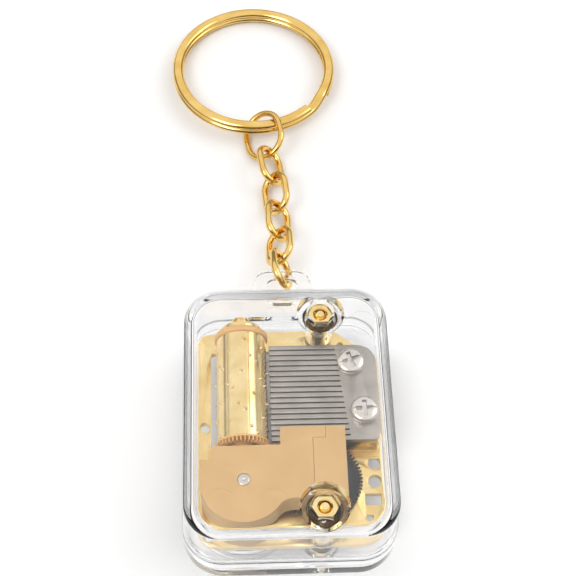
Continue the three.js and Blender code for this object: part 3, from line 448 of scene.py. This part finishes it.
CLEAR = clear_plastic()
GOLD = metal("polished_gold", (0.80, 0.50, 0.13), (0.95, 0.66, 0.24), (0.06, 0.16), 1400, relief=0.1)
PALE_GOLD = metal("pale_gold", (0.86, 0.62, 0.25), (0.96, 0.78, 0.42), (0.06, 0.18), 1400)
BRASS = metal("gold_plate", (0.83, 0.58, 0.22), (0.95, 0.74, 0.38), (0.14, 0.30), 2600)
DRUM = metal("drum_plate", (0.82, 0.59, 0.24), (0.95, 0.75, 0.40), (0.10, 0.26), 1800, (1, 0.15, 1))
NICKEL = metal("nickel", (0.60, 0.55, 0.50), (0.80, 0.76, 0.72), (0.15, 0.32), 2200)
STEEL = metal("ground_steel", (0.34, 0.31, 0.28), (0.46, 0.42, 0.38), (0.34, 0.5), 3500, (0.08, 1, 1), 0.3)
TAN = plastic("tan_moulding", (0.56, 0.345, 0.14), (0.62, 0.395, 0.165), (0.36, 0.5), 0.03)
ORANGE = plastic("orange_moulding", (0.66, 0.37, 0.13), (0.74, 0.43, 0.16), (0.35, 0.5), 0.03)
BLACK = plastic("black_moulding", (0.012, 0.012, 0.014), (0.03, 0.03, 0.035), (0.35, 0.5))


# ------------------------------------------------------------ case


def hexagon(centre, corner_radius):
    return [
        (centre[0] + corner_radius * cos(i * tau / 6), centre[1] + corner_radius * sin(i * tau / 6))
        for i in range(6)
    ]


def boss(centre):
    """The flared boss under the cover's ceiling, with smooth curves between its levels."""
    profile = [(2.25, PLATE_TOP), (2.3, 9.0), (2.4, 11.5), (2.52, 13.2)]
    profile += [(2.75, 14.2), (3.1, 15.0), (3.55, 15.6), (4.08, CAVITY_TOP + 0.1)]
    return turned("boss", profile, centre, steps=72)


def cover_shell():
    ceiling = fillet(CAVITY, CAVITY_TOP, 1.0, True)[::-1]
    loops = ceiling + [section(CAVITY, SEAM_Z)]
    loops += [section(FLANGE, SEAM_Z, 0.25), section(FLANGE, SEAM_Z + 0.1, 0.1)]
    loops += [section(FLANGE, SEAM_Z + 0.3)]
    loops += fillet(FLANGE, FLANGE_TOP, 0.5, True, 4)
    loops += [section(BODY, FLANGE_TOP + 0.02, -0.1), section(BODY, FLANGE_TOP + 0.15)]
    loops += fillet(BODY, CASE_TOP, 1.5, True, 8)
    return loft("cover", loops)


def build_cover():
    lug = prism(
        "lug",
        rounded_polygon([(-6.2, 21.3), (6.2, 21.3), (4.7, 31.05, 2.6), (-4.7, 31.05, 2.6)]),
        6.0,
        8.0,
    )
    soften(lug, 0.35, 3)
    eye = prism("eye", [(x, y + 27.4) for x, y in rounded_rectangle(5.4, 4.9, 1.7)], 5, 9)
    cut(lug, eye)
    cover = cover_shell()
    union(cover, lug, *[boss(centre) for centre in SCREWS.values()])
    for centre in SCREWS.values():
        cut(cover, prism("pocket", hexagon(centre, 2.42), POCKET_FLOOR, 19), post(SCREW_BORE, 6, 16, centre))
    cut(cover, post(WHEEL_RADIUS + 0.45, 5, 9, WHEEL, steps=96))
    for centre in EJECTOR_MARKS:
        cut(cover, post(EJECTOR_RADIUS, 16, CAVITY_TOP + EJECTOR_DEPTH, centre))
    return finish_piece(cover, "clear_cover", "case", CLEAR, ["case_cover"], 25)


def build_base():
    loops = fillet(FLANGE, 0, 0.6, False, 5)[::-1]
    rim = SEAM_Z - SEAM_GAP
    loops += [section(FLANGE, rim - 0.3), section(FLANGE, rim - 0.1, 0.1)]
    loops += [section(FLANGE, rim, 0.3), section(CAVITY, rim), section(CAVITY, FLOOR_TOP)]
    base = loft("base", loops)
    pillars = [post(2.9, 0.6, PLATE_BOTTOM, centre) for centre in SCREWS.values()]
    union(base, *pillars, post(8.1, 0.6, 5.2, ARBOR, steps=96))
    for centre in SCREWS.values():
        cut(base, post(2.1, -1, 1.6, centre), post(SCREW_BORE, 0, 6, centre))
    cut(base, post(KEY_WELL_RADIUS, -1, 4.2, ARBOR, steps=96), post(1.35, 0, 6, ARBOR))
    return finish_piece(base, "clear_base", "case", CLEAR, ["case_base"], 25)


def threads(radius, start, end, pitch=0.4, depth=0.12):
    """Profile points of a threaded shank."""
    points = []
    z = start
    while z + pitch <= end:
        points += [(radius - depth, z), (radius, z + pitch / 2)]
        z += pitch
    return points + [(radius - depth, z)]


def cross(arm, width, bottom, top, centre, turn=0.0, arms=2):
    """A cross-shaped recess, or with one arm a straight slot."""
    bars = []
    for angle in (turn, turn + pi / 2)[:arms]:
        along = Vector((cos(angle), sin(angle)))
        aside = Vector((-sin(angle), cos(angle)))
        corners = [(1, 1), (-1, 1), (-1, -1), (1, -1)]
        outline = [Vector(centre) + along * arm * i + aside * width / 2 * j for i, j in corners]
        bars.append(prism("bar", [tuple(p) for p in outline], bottom, top))
    return bars


def build_case_fixings():
    for place, centre in SCREWS.items():
        profile = [(0, 0.3), (1.5, 0.3), (1.75, 0.42), (1.9, 0.75), (1.9, 1.45), (0.95, 1.5)]
        profile += threads(0.98, 1.6, 16.6) + [(0.6, 16.9), (0, 16.9)]
        screw = turned("screw", profile, centre, steps=32)
        cut(screw, *cross(1.1, 0.5, 0, 1.0, centre, 0.4))
        finish_piece(
            screw, "case_screw_detail_" + place, "case", PALE_GOLD,
            ["case_screw_" + place], 40,
        )
        nut = prism("nut", hexagon(centre, 2.3), NUT_BOTTOM, NUT_TOP)
        dome = [(1.95, NUT_BOTTOM), (2.3, 15.35), (2.31, 16.45), (1.95, NUT_TOP)]
        boolean(nut, "INTERSECT", turned("dome", dome, centre, steps=64))
        bore = [(1.25, 15), (1.06, 15.35), (1.06, 16.45), (1.3, 16.8)]
        cut(nut, turned("bore", bore, centre, steps=48))
        finish_piece(
            nut, "case_nut_detail_" + place, "case", PALE_GOLD, ["case_nut_" + place]
        )


# ------------------------------------------------------------ bedplate and comb


def build_bedplate():
    outline = rounded_polygon([
        (-15.1, -18.7, 4.5), (15.5, -18.7, 4.5), (15.5, 13.4, 1), (11.7, 16.3, 1),
        (8.7, 18.8, 1), (-15.1, 18.8, 2.8),
    ])
    plate = prism("plate", outline, PLATE_BOTTOM, PLATE_TOP)
    window = rounded_polygon([
        (-12.7, -3.9, 0.6), (7.6, -3.9, 0.6), (7.6, 15, 0.6), (-12.7, 15, 0.6),
    ])
    cut(plate, prism("window", window, 0, 10))
    square = rounded_polygon([
        (12.2, -13.2, 0.3), (14.9, -13.2, 0.3), (14.9, -11.2, 0.3), (12.2, -11.2, 0.3),
    ])
    cut(plate, prism("square", square, 0, 10))
    holes = [(14.05, -5.9, 1.1), (14, -9.1, 1.15), (-13.8, 1.1, 0.9), (9.6, 16, 0.6)]
    holes += [(-13.2, -17, 0.6), (12.9, -15.4, 0.7)]
    cut(plate, *[post(radius, 0, 10, (x, y)) for x, y, radius in holes])
    rail = rounded_polygon([(9.2, -3.7), (15.2, -3.7, 1), (15.2, 13, 4), (8.6, 13)])
    ribs = [
        block("rib", (9.9, -4.1 - 0.36 * i, 6.4), (15.2, -3.9 - 0.36 * i, 6.85)) for i in range(4)
    ]
    ribs.append(block("lip", (9.9, -3.9, 6.4), (15, -3.5, 6.85)))
    disc = post(3.4, 16, 16.8, (AXIS_X, AXIS_Z), "Y", 72)
    foot = block("foot", (AXIS_X - 2.6, 16, 6.4), (AXIS_X + 2.6, 16.8, AXIS_Z))
    union(plate, prism("rail", rail, 6.4, COMB_BOTTOM), union(disc, foot), *ribs)
    tools = [post(SCREW_BORE, 0, 8, centre) for centre in SCREWS.values()]
    tools += [post(ARBOR_BORE, 0, 8, ARBOR), post(0.62, 0, 8, WHEEL)]
    tools += [post(0.97, 7.7, 12, centre) for centre in COMB_SCREWS.values()]
    tools.append(post(1.02, 10, 20, (AXIS_X, AXIS_Z), "Y"))
    cut(plate, *tools)
    soften(plate, 0.1, 2, 50)
    return finish_piece(plate, "cast_bedplate", "case", BRASS, ["bedplate"], 30)


def build_comb():
    outline = rounded_polygon([
        (COMB_LEFT, COMB_FRONT), (COMB_RIGHT, COMB_FRONT, 1.6),
        (COMB_RIGHT, COMB_REAR, 4), (COMB_LEFT, COMB_REAR),
    ])
    comb = prism("comb", outline, COMB_BOTTOM, COMB_TOP)
    slots = []
    for i in range(COMB_TEETH - 1):
        y = COMB_FRONT + (i + 1) * TOOTH_PITCH - COMB_SLOT
        root = 10.1 + (8.3 - 10.1) * i / (COMB_TEETH - 2)
        slots.append(block("slot", (COMB_LEFT - 1, y, 10), (root, y + COMB_SLOT, 13)))
    cut(comb, merged("slots", slots), *[post(1.2, 10, 13, c) for c in COMB_SCREWS.values()])
    soften(comb, 0.05, 2, 50)
    return finish_piece(comb, "steel_comb", "case", STEEL, ["comb"], 40)


def build_comb_screws():
    for place, centre in COMB_SCREWS.items():
        profile = [(0, 8.0), (0.7, 8.0)] + threads(0.95, 8.1, 11.6)
        profile += [(0.95, 11.9), (2.2, 11.9), (2.3, 12.0), (2.3, 12.75), (2.24, 12.95)]
        profile += [(2.1, 13.1), (1.8, 13.22), (1.3, 13.3), (0, 13.3)]
        screw = turned("screw", profile, centre, steps=72)
        turn = 0.35 if place == "upper" else 0.05
        cut(screw, *cross(1.45, 0.72, 12.3, 14, centre, turn))
        cut(screw, *cross(2.15, 0.4, 12.8, 14, centre, turn, 1))
        soften(screw, 0.05, 2, 50)
        finish_piece(
            screw, "comb_screw_detail_" + place, "case", NICKEL,
            ["comb_screw_" + place], 40,
        )


# ------------------------------------------------------------ cylinder


def about_axis(obj, degrees):
    """Turns a solid about the cylinder's axis, from the top towards +X."""
    there = Matrix.Translation((AXIS_X, 0, AXIS_Z))
    turn = Matrix.Rotation(radians(degrees), 4, "Y")
    obj.data.transform(there @ turn @ there.inverted())
    return obj


def drum_pin(y, degrees):
    """One raised pin: a small stub with a rounded end."""
    profile = [(0.34, 4.0), (0.34, 4.2), (0.26, 4.24), (0.2, 4.32), (0.19, 4.42)]
    profile += [(0.15, 4.49), (0.06, 4.52)]
    pin = turned("pin", profile, (AXIS_X, y), steps=14)
    pin.data.transform(Matrix.Translation((0, 0, AXIS_Z)))
    return about_axis(pin, degrees)


def build_drum():
    front, rear = drum_low.y, drum_high.y
    edge = 0.1
    profile = [(DRUM_BORE, front), (DRUM_RADIUS - edge, front), (DRUM_RADIUS, front + edge)]
    profile += [(DRUM_RADIUS, rear - edge), (DRUM_RADIUS - edge, rear), (DRUM_BORE, rear)]
    drum = turned("drum", profile, (AXIS_X, AXIS_Z), "Y", 144, True)
    low = (AXIS_X - SEAM_HALF_WIDTH, front - 1, AXIS_Z + 3.9)
    seam = block("seam", low, (AXIS_X + SEAM_HALF_WIDTH, rear + 1, 17))
    cut(drum, about_axis(seam, SEAM_ANGLE))
    finish_piece(drum, "rolled_drum", "cylinder", DRUM, ["cylinder_drum"], 20)
    pins = []
    for tooth in range(COMB_TEETH):
        for k in range(PINS_PER_ROW):
            y = COMB_FRONT + (tooth + 0.36) * TOOTH_PITCH
            pins.append(drum_pin(y, 35 + tooth * 83 + k * 131))
    studs = merged("pins", pins)
    finish_piece(studs, "drum_pins", "cylinder", DRUM, [], 60)


def build_cylinder_ends():
    axis = (AXIS_X, AXIS_Z)
    front, rear = (v.y for v in box_mm("cylinder_cap"))
    profile = [(SHAFT_BORE, front), (4.35, front), (4.45, front + 0.05), (4.5, front + 0.15)]
    profile += [(4.5, rear - 0.3), (4.42, rear - 0.12), (4.25, rear), (3.2, rear)]
    profile += [(3.1, rear - 0.15), (1.6, rear - 0.15), (1.5, rear), (SHAFT_BORE, rear)]
    cap = turned("cap", profile, axis, "Y", 128, True)
    finish_piece(cap, "cylinder_cap_detail", "cylinder", ORANGE, ["cylinder_cap"])

    tip, back = (v.y for v in box_mm("cylinder_gear"))
    root = tip + 0.7
    profile = [(SHAFT_BORE, tip), (1.6, tip), (1.6, root)]
    profile += [(4.4, root), (4.4, back), (SHAFT_BORE, back)]
    gear = turned("gear", profile, axis, "Y", 160, True)
    step = 360 / CROWN_TEETH
    ribs = []
    for i in range(CROWN_TEETH):
        rib = block(
            "rib", (AXIS_X - 0.09, tip, AXIS_Z + 3.3), (AXIS_X + 0.09, root + 0.1, AXIS_Z + 4.39)
        )
        soften(rib, 0.03, 1)
        ribs.append(about_axis(rib, (i + 0.5) * step))
    union(gear, merged("ribs", ribs))
    finish_piece(gear, "crown_gear", "cylinder", ORANGE, ["cylinder_gear"])


def build_bearing():
    front, rear = (v.y for v in box_mm("cylinder_bearing"))
    profile = [(0.65, front), (1.0, front), (1.0, 16.8)]
    pitch = (rear - 16.8) / 4
    for i in range(4):
        y = 16.8 + i * pitch
        profile += [(1.42, y), (1.5, y + 0.06), (1.5, y + pitch * 0.55)]
        profile += [(1.42, y + pitch * 0.65), (1.3, y + pitch * 0.72), (1.3, y + pitch * 0.98)]
    profile += [(0.65, rear)]
    bush = turned("bush", profile, (AXIS_X, AXIS_Z), "Y", 64, True)
    finish_piece(bush, "ribbed_bush", "case", BRASS, ["cylinder_bearing"])


# ------------------------------------------------------------ gears


def gear_outline(centre, teeth, radius, first):
    outline = []
    for tooth in range(teeth):
        for share, height in TOOTH_SHAPE:
            angle = first + (tooth + share) * tau / teeth
            reach = radius + height
            outline.append((centre[0] + reach * cos(angle), centre[1] + reach * sin(angle)))
    return outline


def wheel_phase():
    pitch = tau / GREAT_TEETH
    from_tooth = WHEEL_ANGLE - tau / 4
    nearest = round(from_tooth / pitch) * pitch - from_tooth
    return WHEEL_ANGLE + pi - nearest * GREAT_RADIUS / WHEEL_RADIUS + pi / WHEEL_TEETH


def build_gears():
    great = prism("great", gear_outline(ARBOR, GREAT_TEETH, GREAT_RADIUS, pi / 2), 7.3, 7.9)
    union(great, post(1.35, 6.9, 8.9, ARBOR))
    cut(great, post(ARBOR_BORE, 6, 10, ARBOR))
    finish_piece(great, "great_gear_detail", "great_gear", BLACK, ["great_gear"])

    outline = gear_outline(WHEEL, WHEEL_TEETH, WHEEL_RADIUS, wheel_phase())
    wheel = prism("wheel", outline, 7.2, 8.0)
    cut(wheel, post(FACE_RADIUS - 0.5, 7.6, 10, WHEEL, steps=96))
    groove = [(4.9, 7.85), (5.6, 7.85), (5.6, 9), (4.9, 9)]
    cut(wheel, turned("groove", groove, WHEEL, steps=96, ring=True))
    teeth = []
    for i in range(FACE_TEETH):
        tooth = block("tooth", (-0.1, -FACE_RADIUS - 0.4, 7.9), (0.1, -FACE_RADIUS + 0.4, 8.5))
        turn = Matrix.Rotation(i * tau / FACE_TEETH, 4, "Z")
        tooth.data.transform(Matrix.Translation((*WHEEL, 0)) @ turn)
        teeth.append(tooth)
    union(wheel, post(1.1, 6.8, 7.95, WHEEL), merged("teeth", teeth))
    cut(wheel, post(0.65, 6, 10, WHEEL))
    finish_piece(
        wheel, "contrate_wheel_detail", "contrate_wheel", BLACK, ["contrate_wheel"]
    )


# ------------------------------------------------------------ covers


def cover_outline():
    x, y = ARBOR
    outline = [(-1.45, -5.6), (-1.45, -2.9), (-1.3, -2.62), (-1.05, -2.5)]
    outline += [(8.8, -2.5), (9.05, -2.75), (9.05, -14.35), (8.8, -14.6), (0.6, -14.6)]
    meet = Vector(arc((x, y), HOUSING_OUTER, -35, -35, 1)[0])
    start, middle = Vector((0.6, -14.6)), Vector((-0.8, -14.6))
    for i in range(1, 6):
        t = i / 6
        outline.append(tuple(start * (1 - t) ** 2 + middle * 2 * t * (1 - t) + meet * t * t))
    outline += arc((x, y), HOUSING_OUTER, -35, -180, 56)
    outline += [(x - HOUSING_OUTER, -8.1), (x - HOUSING_OUTER + 0.2, -7.9), (-12.9, -7.9)]
    outline += [(-12.9, -6.4), (-12.1, -5.6)]
    return outline


def governor_outline(grow):
    right, rear, front = COVER_RIGHT + grow, COVER_REAR + grow, COVER_FRONT - grow
    return [
        (5.9 - grow, rear), (5.9 - grow, -4.5 + grow), (3.8 - grow, -4.5 + grow),
        (3.8 - grow, -12.6 - grow), (6.1 - grow, -12.6 - grow), (6.1 - grow, front),
        (right, front), (right, rear),
    ]


def cover_cavities():
    """The rooms inside the covers, as separate cutters."""
    drum = post(HOUSING_INNER, 0, COVER_UNDER, ARBOR, steps=96)
    cut(drum, block("wall", (-16, -6.2, -1), (-0.85, 5, 18)))
    relief = [(2.5, PLATE_TOP), (2.75, 13.2), (3.85, 15.4), (4.35, 16.5)]
    return [
        block("box", (-0.85, -13.6, 0), (8.45, -3.1, COVER_UNDER)),
        drum,
        block("comb_room", (-5, -4.2, 0), (16, 0, 12.1)),
        post(WHEEL_RADIUS + 0.4, 0, COVER_BOTTOM, WHEEL, steps=96),
        turned("relief", relief, SCREWS["front"]),
    ]


def build_covers():
    spindle_z = centre_mm("governor_spindle").z
    cover = prism("cover", cover_outline(), COVER_BOTTOM, COVER_TOP)
    profile = [(HOUSING_INNER, PLATE_TOP), (HOUSING_OUTER, PLATE_TOP)]
    profile += [(HOUSING_OUTER, 9.5), (HOUSING_INNER, 9.5)]
    skirt = turned("skirt", profile, ARBOR, steps=128, ring=True)
    x, y = ARBOR
    cut(skirt, block("gap", (x - 4.6, y, 0), (x + 9, y + 9, 18)))
    cut(skirt, block("gap", (x + 4, y - 9, 0), (x + 9, y + 9, 18)))
    union(cover, skirt)
    cut(cover, *cover_cavities(), prism("seam", governor_outline(0.06), 0, 18))
    cut(cover, post(ARBOR_BORE, 0, 18, ARBOR), post(0.65, -8, 0, (AXIS_X, AXIS_Z), "Y"))
    cut(cover, post(0.35, -16, -12, (WHEEL[0], spindle_z), "Y"))
    soften(cover, 0.12, 2, 50)
    finish_piece(cover, "gear_cover_detail", "case", TAN, ["gear_cover"], 30)

    lid = prism("lid", governor_outline(0), COVER_BOTTOM, COVER_TOP)
    cut(lid, *cover_cavities())
    wx = WHEEL[0]
    union(lid, block("wall", (wx - 1.2, -5.2, 8.7), (wx + 1.2, -4.6, 13.4)))
    union(lid, block("seat", (wx - 1.2, -5.9, 8.8), (wx + 1.2, -5.4, 13.4)))
    cut(lid, post(0.35, -6.5, -2, (wx, spindle_z), "Y"))
    soften(lid, 0.12, 2, 50)
    finish_piece(lid, "governor_cover_detail", "case", TAN, ["governor_cover"], 30)


# ------------------------------------------------------------ arbor and key


def build_arbor_and_key():
    top = box_mm("winding_arbor")[1].z
    profile = [(0, 1.6), (0.9, 1.6), (0.9, 4.3), (1.0, 4.4), (1.0, top - 0.2)]
    profile += [(0.93, top - 0.06), (0.8, top), (0.3, top), (0.12, top - 0.12), (0, top - 0.14)]
    arbor = turned("arbor", profile, ARBOR, steps=48)
    finish_piece(arbor, "winding_arbor_detail", "winding_key", NICKEL, ["winding_arbor"])

    wing = 6.6
    bow = rounded_polygon([
        (-wing, 0.3, 1.1), (wing, 0.3, 1.1), (wing, 3.1, 1.3), (-wing, 3.1, 1.3),
    ])
    plate = prism("bow", bow, -0.55, 0.55)
    for side in (-1, 1):
        cut(plate, post(0.75, -1, 1, (side * 4.4, 1.7), steps=32))
    plate.data.transform(Matrix.Translation((*ARBOR, 0)) @ Matrix.Rotation(pi / 2, 4, "X"))
    soften(plate, 0.2, 3, 50)
    hub = turned("hub", [(1.8, 0.8), (2.0, 1.0), (2.0, 3.8), (1.8, 4.0)], ARBOR, steps=64)
    union(plate, hub)
    cut(plate, post(0.92, 1.58, 9, ARBOR))
    finish_piece(plate, "butterfly_key", "winding_key", GOLD, ["winding_key"], 40)


# ------------------------------------------------------------ chain and rings


def stadium(width, length, wire, steps):
    """Centre line of a link in the XY plane, drawn out along Y, with outward normals."""
    radius = (width - wire) / 2
    reach = (length - width) / 2
    path = []
    for end, start in ((reach, 0), (-reach, 180)):
        for x, y in arc((0, 0), 1, start, start + 180, steps):
            path.append((Vector((x * radius, y * radius + end, 0)), Vector((x, y, 0))))
    return path


def swept(name, path, wire, sides, closed):
    loops = []
    for point, normal in path:
        loop = []
        for i in range(sides):
            angle = i * tau / sides
            offset = normal * cos(angle) + Vector((0, 0, 1)) * sin(angle)
            loop.append(point + offset * wire / 2)
        loops.append(loop)
    return loft(name, loops, closed)


def pose_link(obj, hook, far, across, half):
    """Puts a link's far wire on a point, along a direction, with its width along another."""
    along = (far - hook).normalized()
    across = (across - along * across.dot(along)).normalized()
    up = across.cross(along)
    turn = Matrix((across, along, up)).transposed().to_4x4()
    obj.data.transform(Matrix.Translation(far - along * half) @ turn)


def build_chain():
    joints = {joint["name"]: joint for joint in frame["joints"]}

    def place(name):
        return Vector(joints[name]["pos_m"]) / MM

    names = [f"link_{i}_hinge" for i in range(1, 6)] + ["jump_ring_hinge", "key_ring_hinge"]
    for i in range(5):
        link = swept("link", stadium(LINK_WIDTH, LINK_LENGTH, LINK_WIRE, 20), LINK_WIRE, 20, True)
        across = Vector(joints[names[i + 1]]["axis"])
        half = (LINK_LENGTH - LINK_WIRE) / 2
        pose_link(link, place(names[i]), place(names[i + 1]), across, half)
        finish_piece(
            link, f"link_{i + 1}_detail", f"link_{i + 1}", GOLD,
            [f"chain_link_{i + 1}"], 60,
        )
    ring = swept("jump", stadium(JUMP_WIDTH, JUMP_LENGTH, JUMP_WIRE, 28), JUMP_DRAWN_WIRE, 20, True)
    slit = block("slit", (-0.15, 0, -2), (0.15, JUMP_LENGTH, 2))
    slit.data.transform(Matrix.Rotation(JUMP_SLIT_ANGLE, 4, "Z"))
    cut(ring, slit)
    half = (JUMP_LENGTH - JUMP_WIRE) / 2
    across = Vector(joints["key_ring_hinge"]["axis"])
    pose_link(ring, place(names[5]), place(names[6]), across, half)
    finish_piece(ring, "jump_ring_detail", "jump_ring", GOLD, ["jump_ring"], 50)


def build_key_ring():
    """Two turns of flat band with bevelled edges, one stepping up over the other."""
    half, high, c = RING_BAND / 2, RING_LAYER / 2, RING_CHAMFER
    band = [(-half, -high + c), (-half + c, -high), (half - c, -high), (half, -high + c)]
    band += [(half, high - c), (half - c, high), (-half + c, high), (-half, high - c)]
    start = RING_CROSSOVER_START + RING_CROSSOVER_SWEEP
    crossover = RING_CROSSOVER_START + tau
    end = RING_CROSSOVER_START + 2 * tau
    steps = 420
    loops = []
    for i in range(steps + 1):
        angle = start + (end - start) * i / steps
        share = (angle - crossover) / RING_CROSSOVER_SWEEP
        share = min(max((share - 0.12) / 0.76, 0), 1)
        rise = RING_LEVEL * (share * share * (3 - 2 * share) - 0.5)
        loops.append([
            ((RING_RADIUS + x) * cos(angle), (RING_RADIUS + x) * sin(angle), rise + z)
            for x, z in band
        ])
    ring = loft("ring", loops)
    soften(ring, 0.06, 1, 30)
    place = centre_mm("key_ring")
    ring.data.transform(Matrix.Translation(place) @ Matrix.Rotation(-RING_PITCH, 4, "X"))
    finish_piece(ring, "split_ring", "key_ring", GOLD, ["key_ring"], 25)


# ------------------------------------------------------------ carried-over nodes


def dress_hidden_nodes():
    """The small works inside the covers keep their CAD shape and get real finishes."""
    finishes = {
        "cylinder_shaft": NICKEL, "contrate_pin": NICKEL, "governor_spindle": NICKEL,
        "governor_weight_left": BRASS, "governor_weight_right": BRASS, "brake_drum": BRASS,
        "mainspring": STEEL, "clutch_spring": STEEL,
    }
    for name, material in finishes.items():
        slots = frame["nodes"][name].material_slots
        for slot in slots:
            slot.material = material


# ------------------------------------------------------------ stage

# The sky's brightness near the horizon; overhead it is 1
WORLD_LOW = 0.3
# Name, place in metres, width in metres and power in watts
LAMPS = (
    ("key", (-0.35, -0.25, 0.6), 0.3, 1.2),
    ("fill", (0.5, 0.15, 0.5), 0.4, 0.8),
)


def build_stage():
    low = CAD_BOX[0]
    mesh = bpy.data.meshes.new("floor")
    size = 3.0
    corners = [(-size, -size), (size, -size), (size, size), (-size, size)]
    mesh.from_pydata([(x, y, low[2] - 0.00002) for x, y in corners], [], [(0, 1, 2, 3)])
    floor = bpy.data.objects.new("floor", mesh)
    bpy.context.scene.collection.objects.link(floor)
    material, nodes, links, bsdf = node_material("floor_paper")
    bsdf.inputs["Base Color"].default_value = (0.97, 0.97, 0.97, 1)
    bsdf.inputs["Roughness"].default_value = 0.9
    mesh.materials.append(material)


def world_step(nodes, links, value, start, end, low, high):
    """A smooth step of the sky's brightness along one direction."""
    step = nodes.new("ShaderNodeMapRange")
    step.interpolation_type = "SMOOTHSTEP"
    step.inputs["From Min"].default_value = start
    step.inputs["From Max"].default_value = end
    step.inputs["To Min"].default_value = low
    step.inputs["To Max"].default_value = high
    links.new(value, step.inputs["Value"])
    return step.outputs["Result"]


def build_lights():
    scene = bpy.context.scene
    world = bpy.data.worlds.new("studio")
    scene.world = world
    world.use_nodes = True
    nodes, links = world.node_tree.nodes, world.node_tree.links
    place = nodes.new("ShaderNodeTexCoord")
    split = nodes.new("ShaderNodeSeparateXYZ")
    links.new(place.outputs["Generated"], split.inputs["Vector"])
    height = world_step(nodes, links, split.outputs["Z"], 0.22, 0.55, WORLD_LOW, 1.0)
    front = world_step(nodes, links, split.outputs["Y"], -0.88, -0.5, 0.06, 1.0)
    level = nodes.new("ShaderNodeMath")
    level.operation = "MULTIPLY"
    links.new(height, level.inputs[0])
    links.new(front, level.inputs[1])
    links.new(level.outputs["Value"], nodes["Background"].inputs["Strength"])
    nodes["Background"].inputs["Color"].default_value = (1, 1, 1, 1)
    for name, place, size, power in LAMPS:
        data = bpy.data.lights.new(name, "AREA")
        data.size = size
        data.energy = power
        light = bpy.data.objects.new(name, data)
        scene.collection.objects.link(light)
        light.location = place
        aim = Vector((0, 0.03, 0)) - light.location
        light.rotation_euler = aim.to_track_quat("-Z", "Y").to_euler()
    scene.view_settings.view_transform = "Standard"


def build_camera():
    """The photograph's view: nearly from the front, 60 degrees above the table."""
    azimuth, elevation, roll = radians(-4.283), radians(60.5), radians(2.682)
    distance = 0.237869
    target = Vector((0.001347, 0.031715, 0.0))
    back = Vector((
        sin(azimuth) * cos(elevation), -cos(azimuth) * cos(elevation), sin(elevation),
    ))
    level = (-back).cross(Vector((0, 0, 1))).normalized()
    upright = level.cross(-back)
    right = level * cos(roll) + upright * sin(roll)
    up = upright * cos(roll) - level * sin(roll)
    data = bpy.data.cameras.new("camera")
    data.lens = 80.26
    data.sensor_width = 36
    data.clip_start = 0.01
    camera = bpy.data.objects.new("camera", data)
    bpy.context.scene.collection.objects.link(camera)
    turn = Matrix((right, up, back)).transposed().to_4x4()
    camera.matrix_world = Matrix.Translation(target + back * distance) @ turn
    bpy.context.scene.camera = camera


build_camera()
build_lights()
build_cover()
build_base()
build_case_fixings()
build_bedplate()
build_comb()
build_comb_screws()
build_drum()
build_cylinder_ends()
build_bearing()
build_gears()
build_covers()
build_arbor_and_key()
build_chain()
build_key_ring()
dress_hidden_nodes()
build_stage()
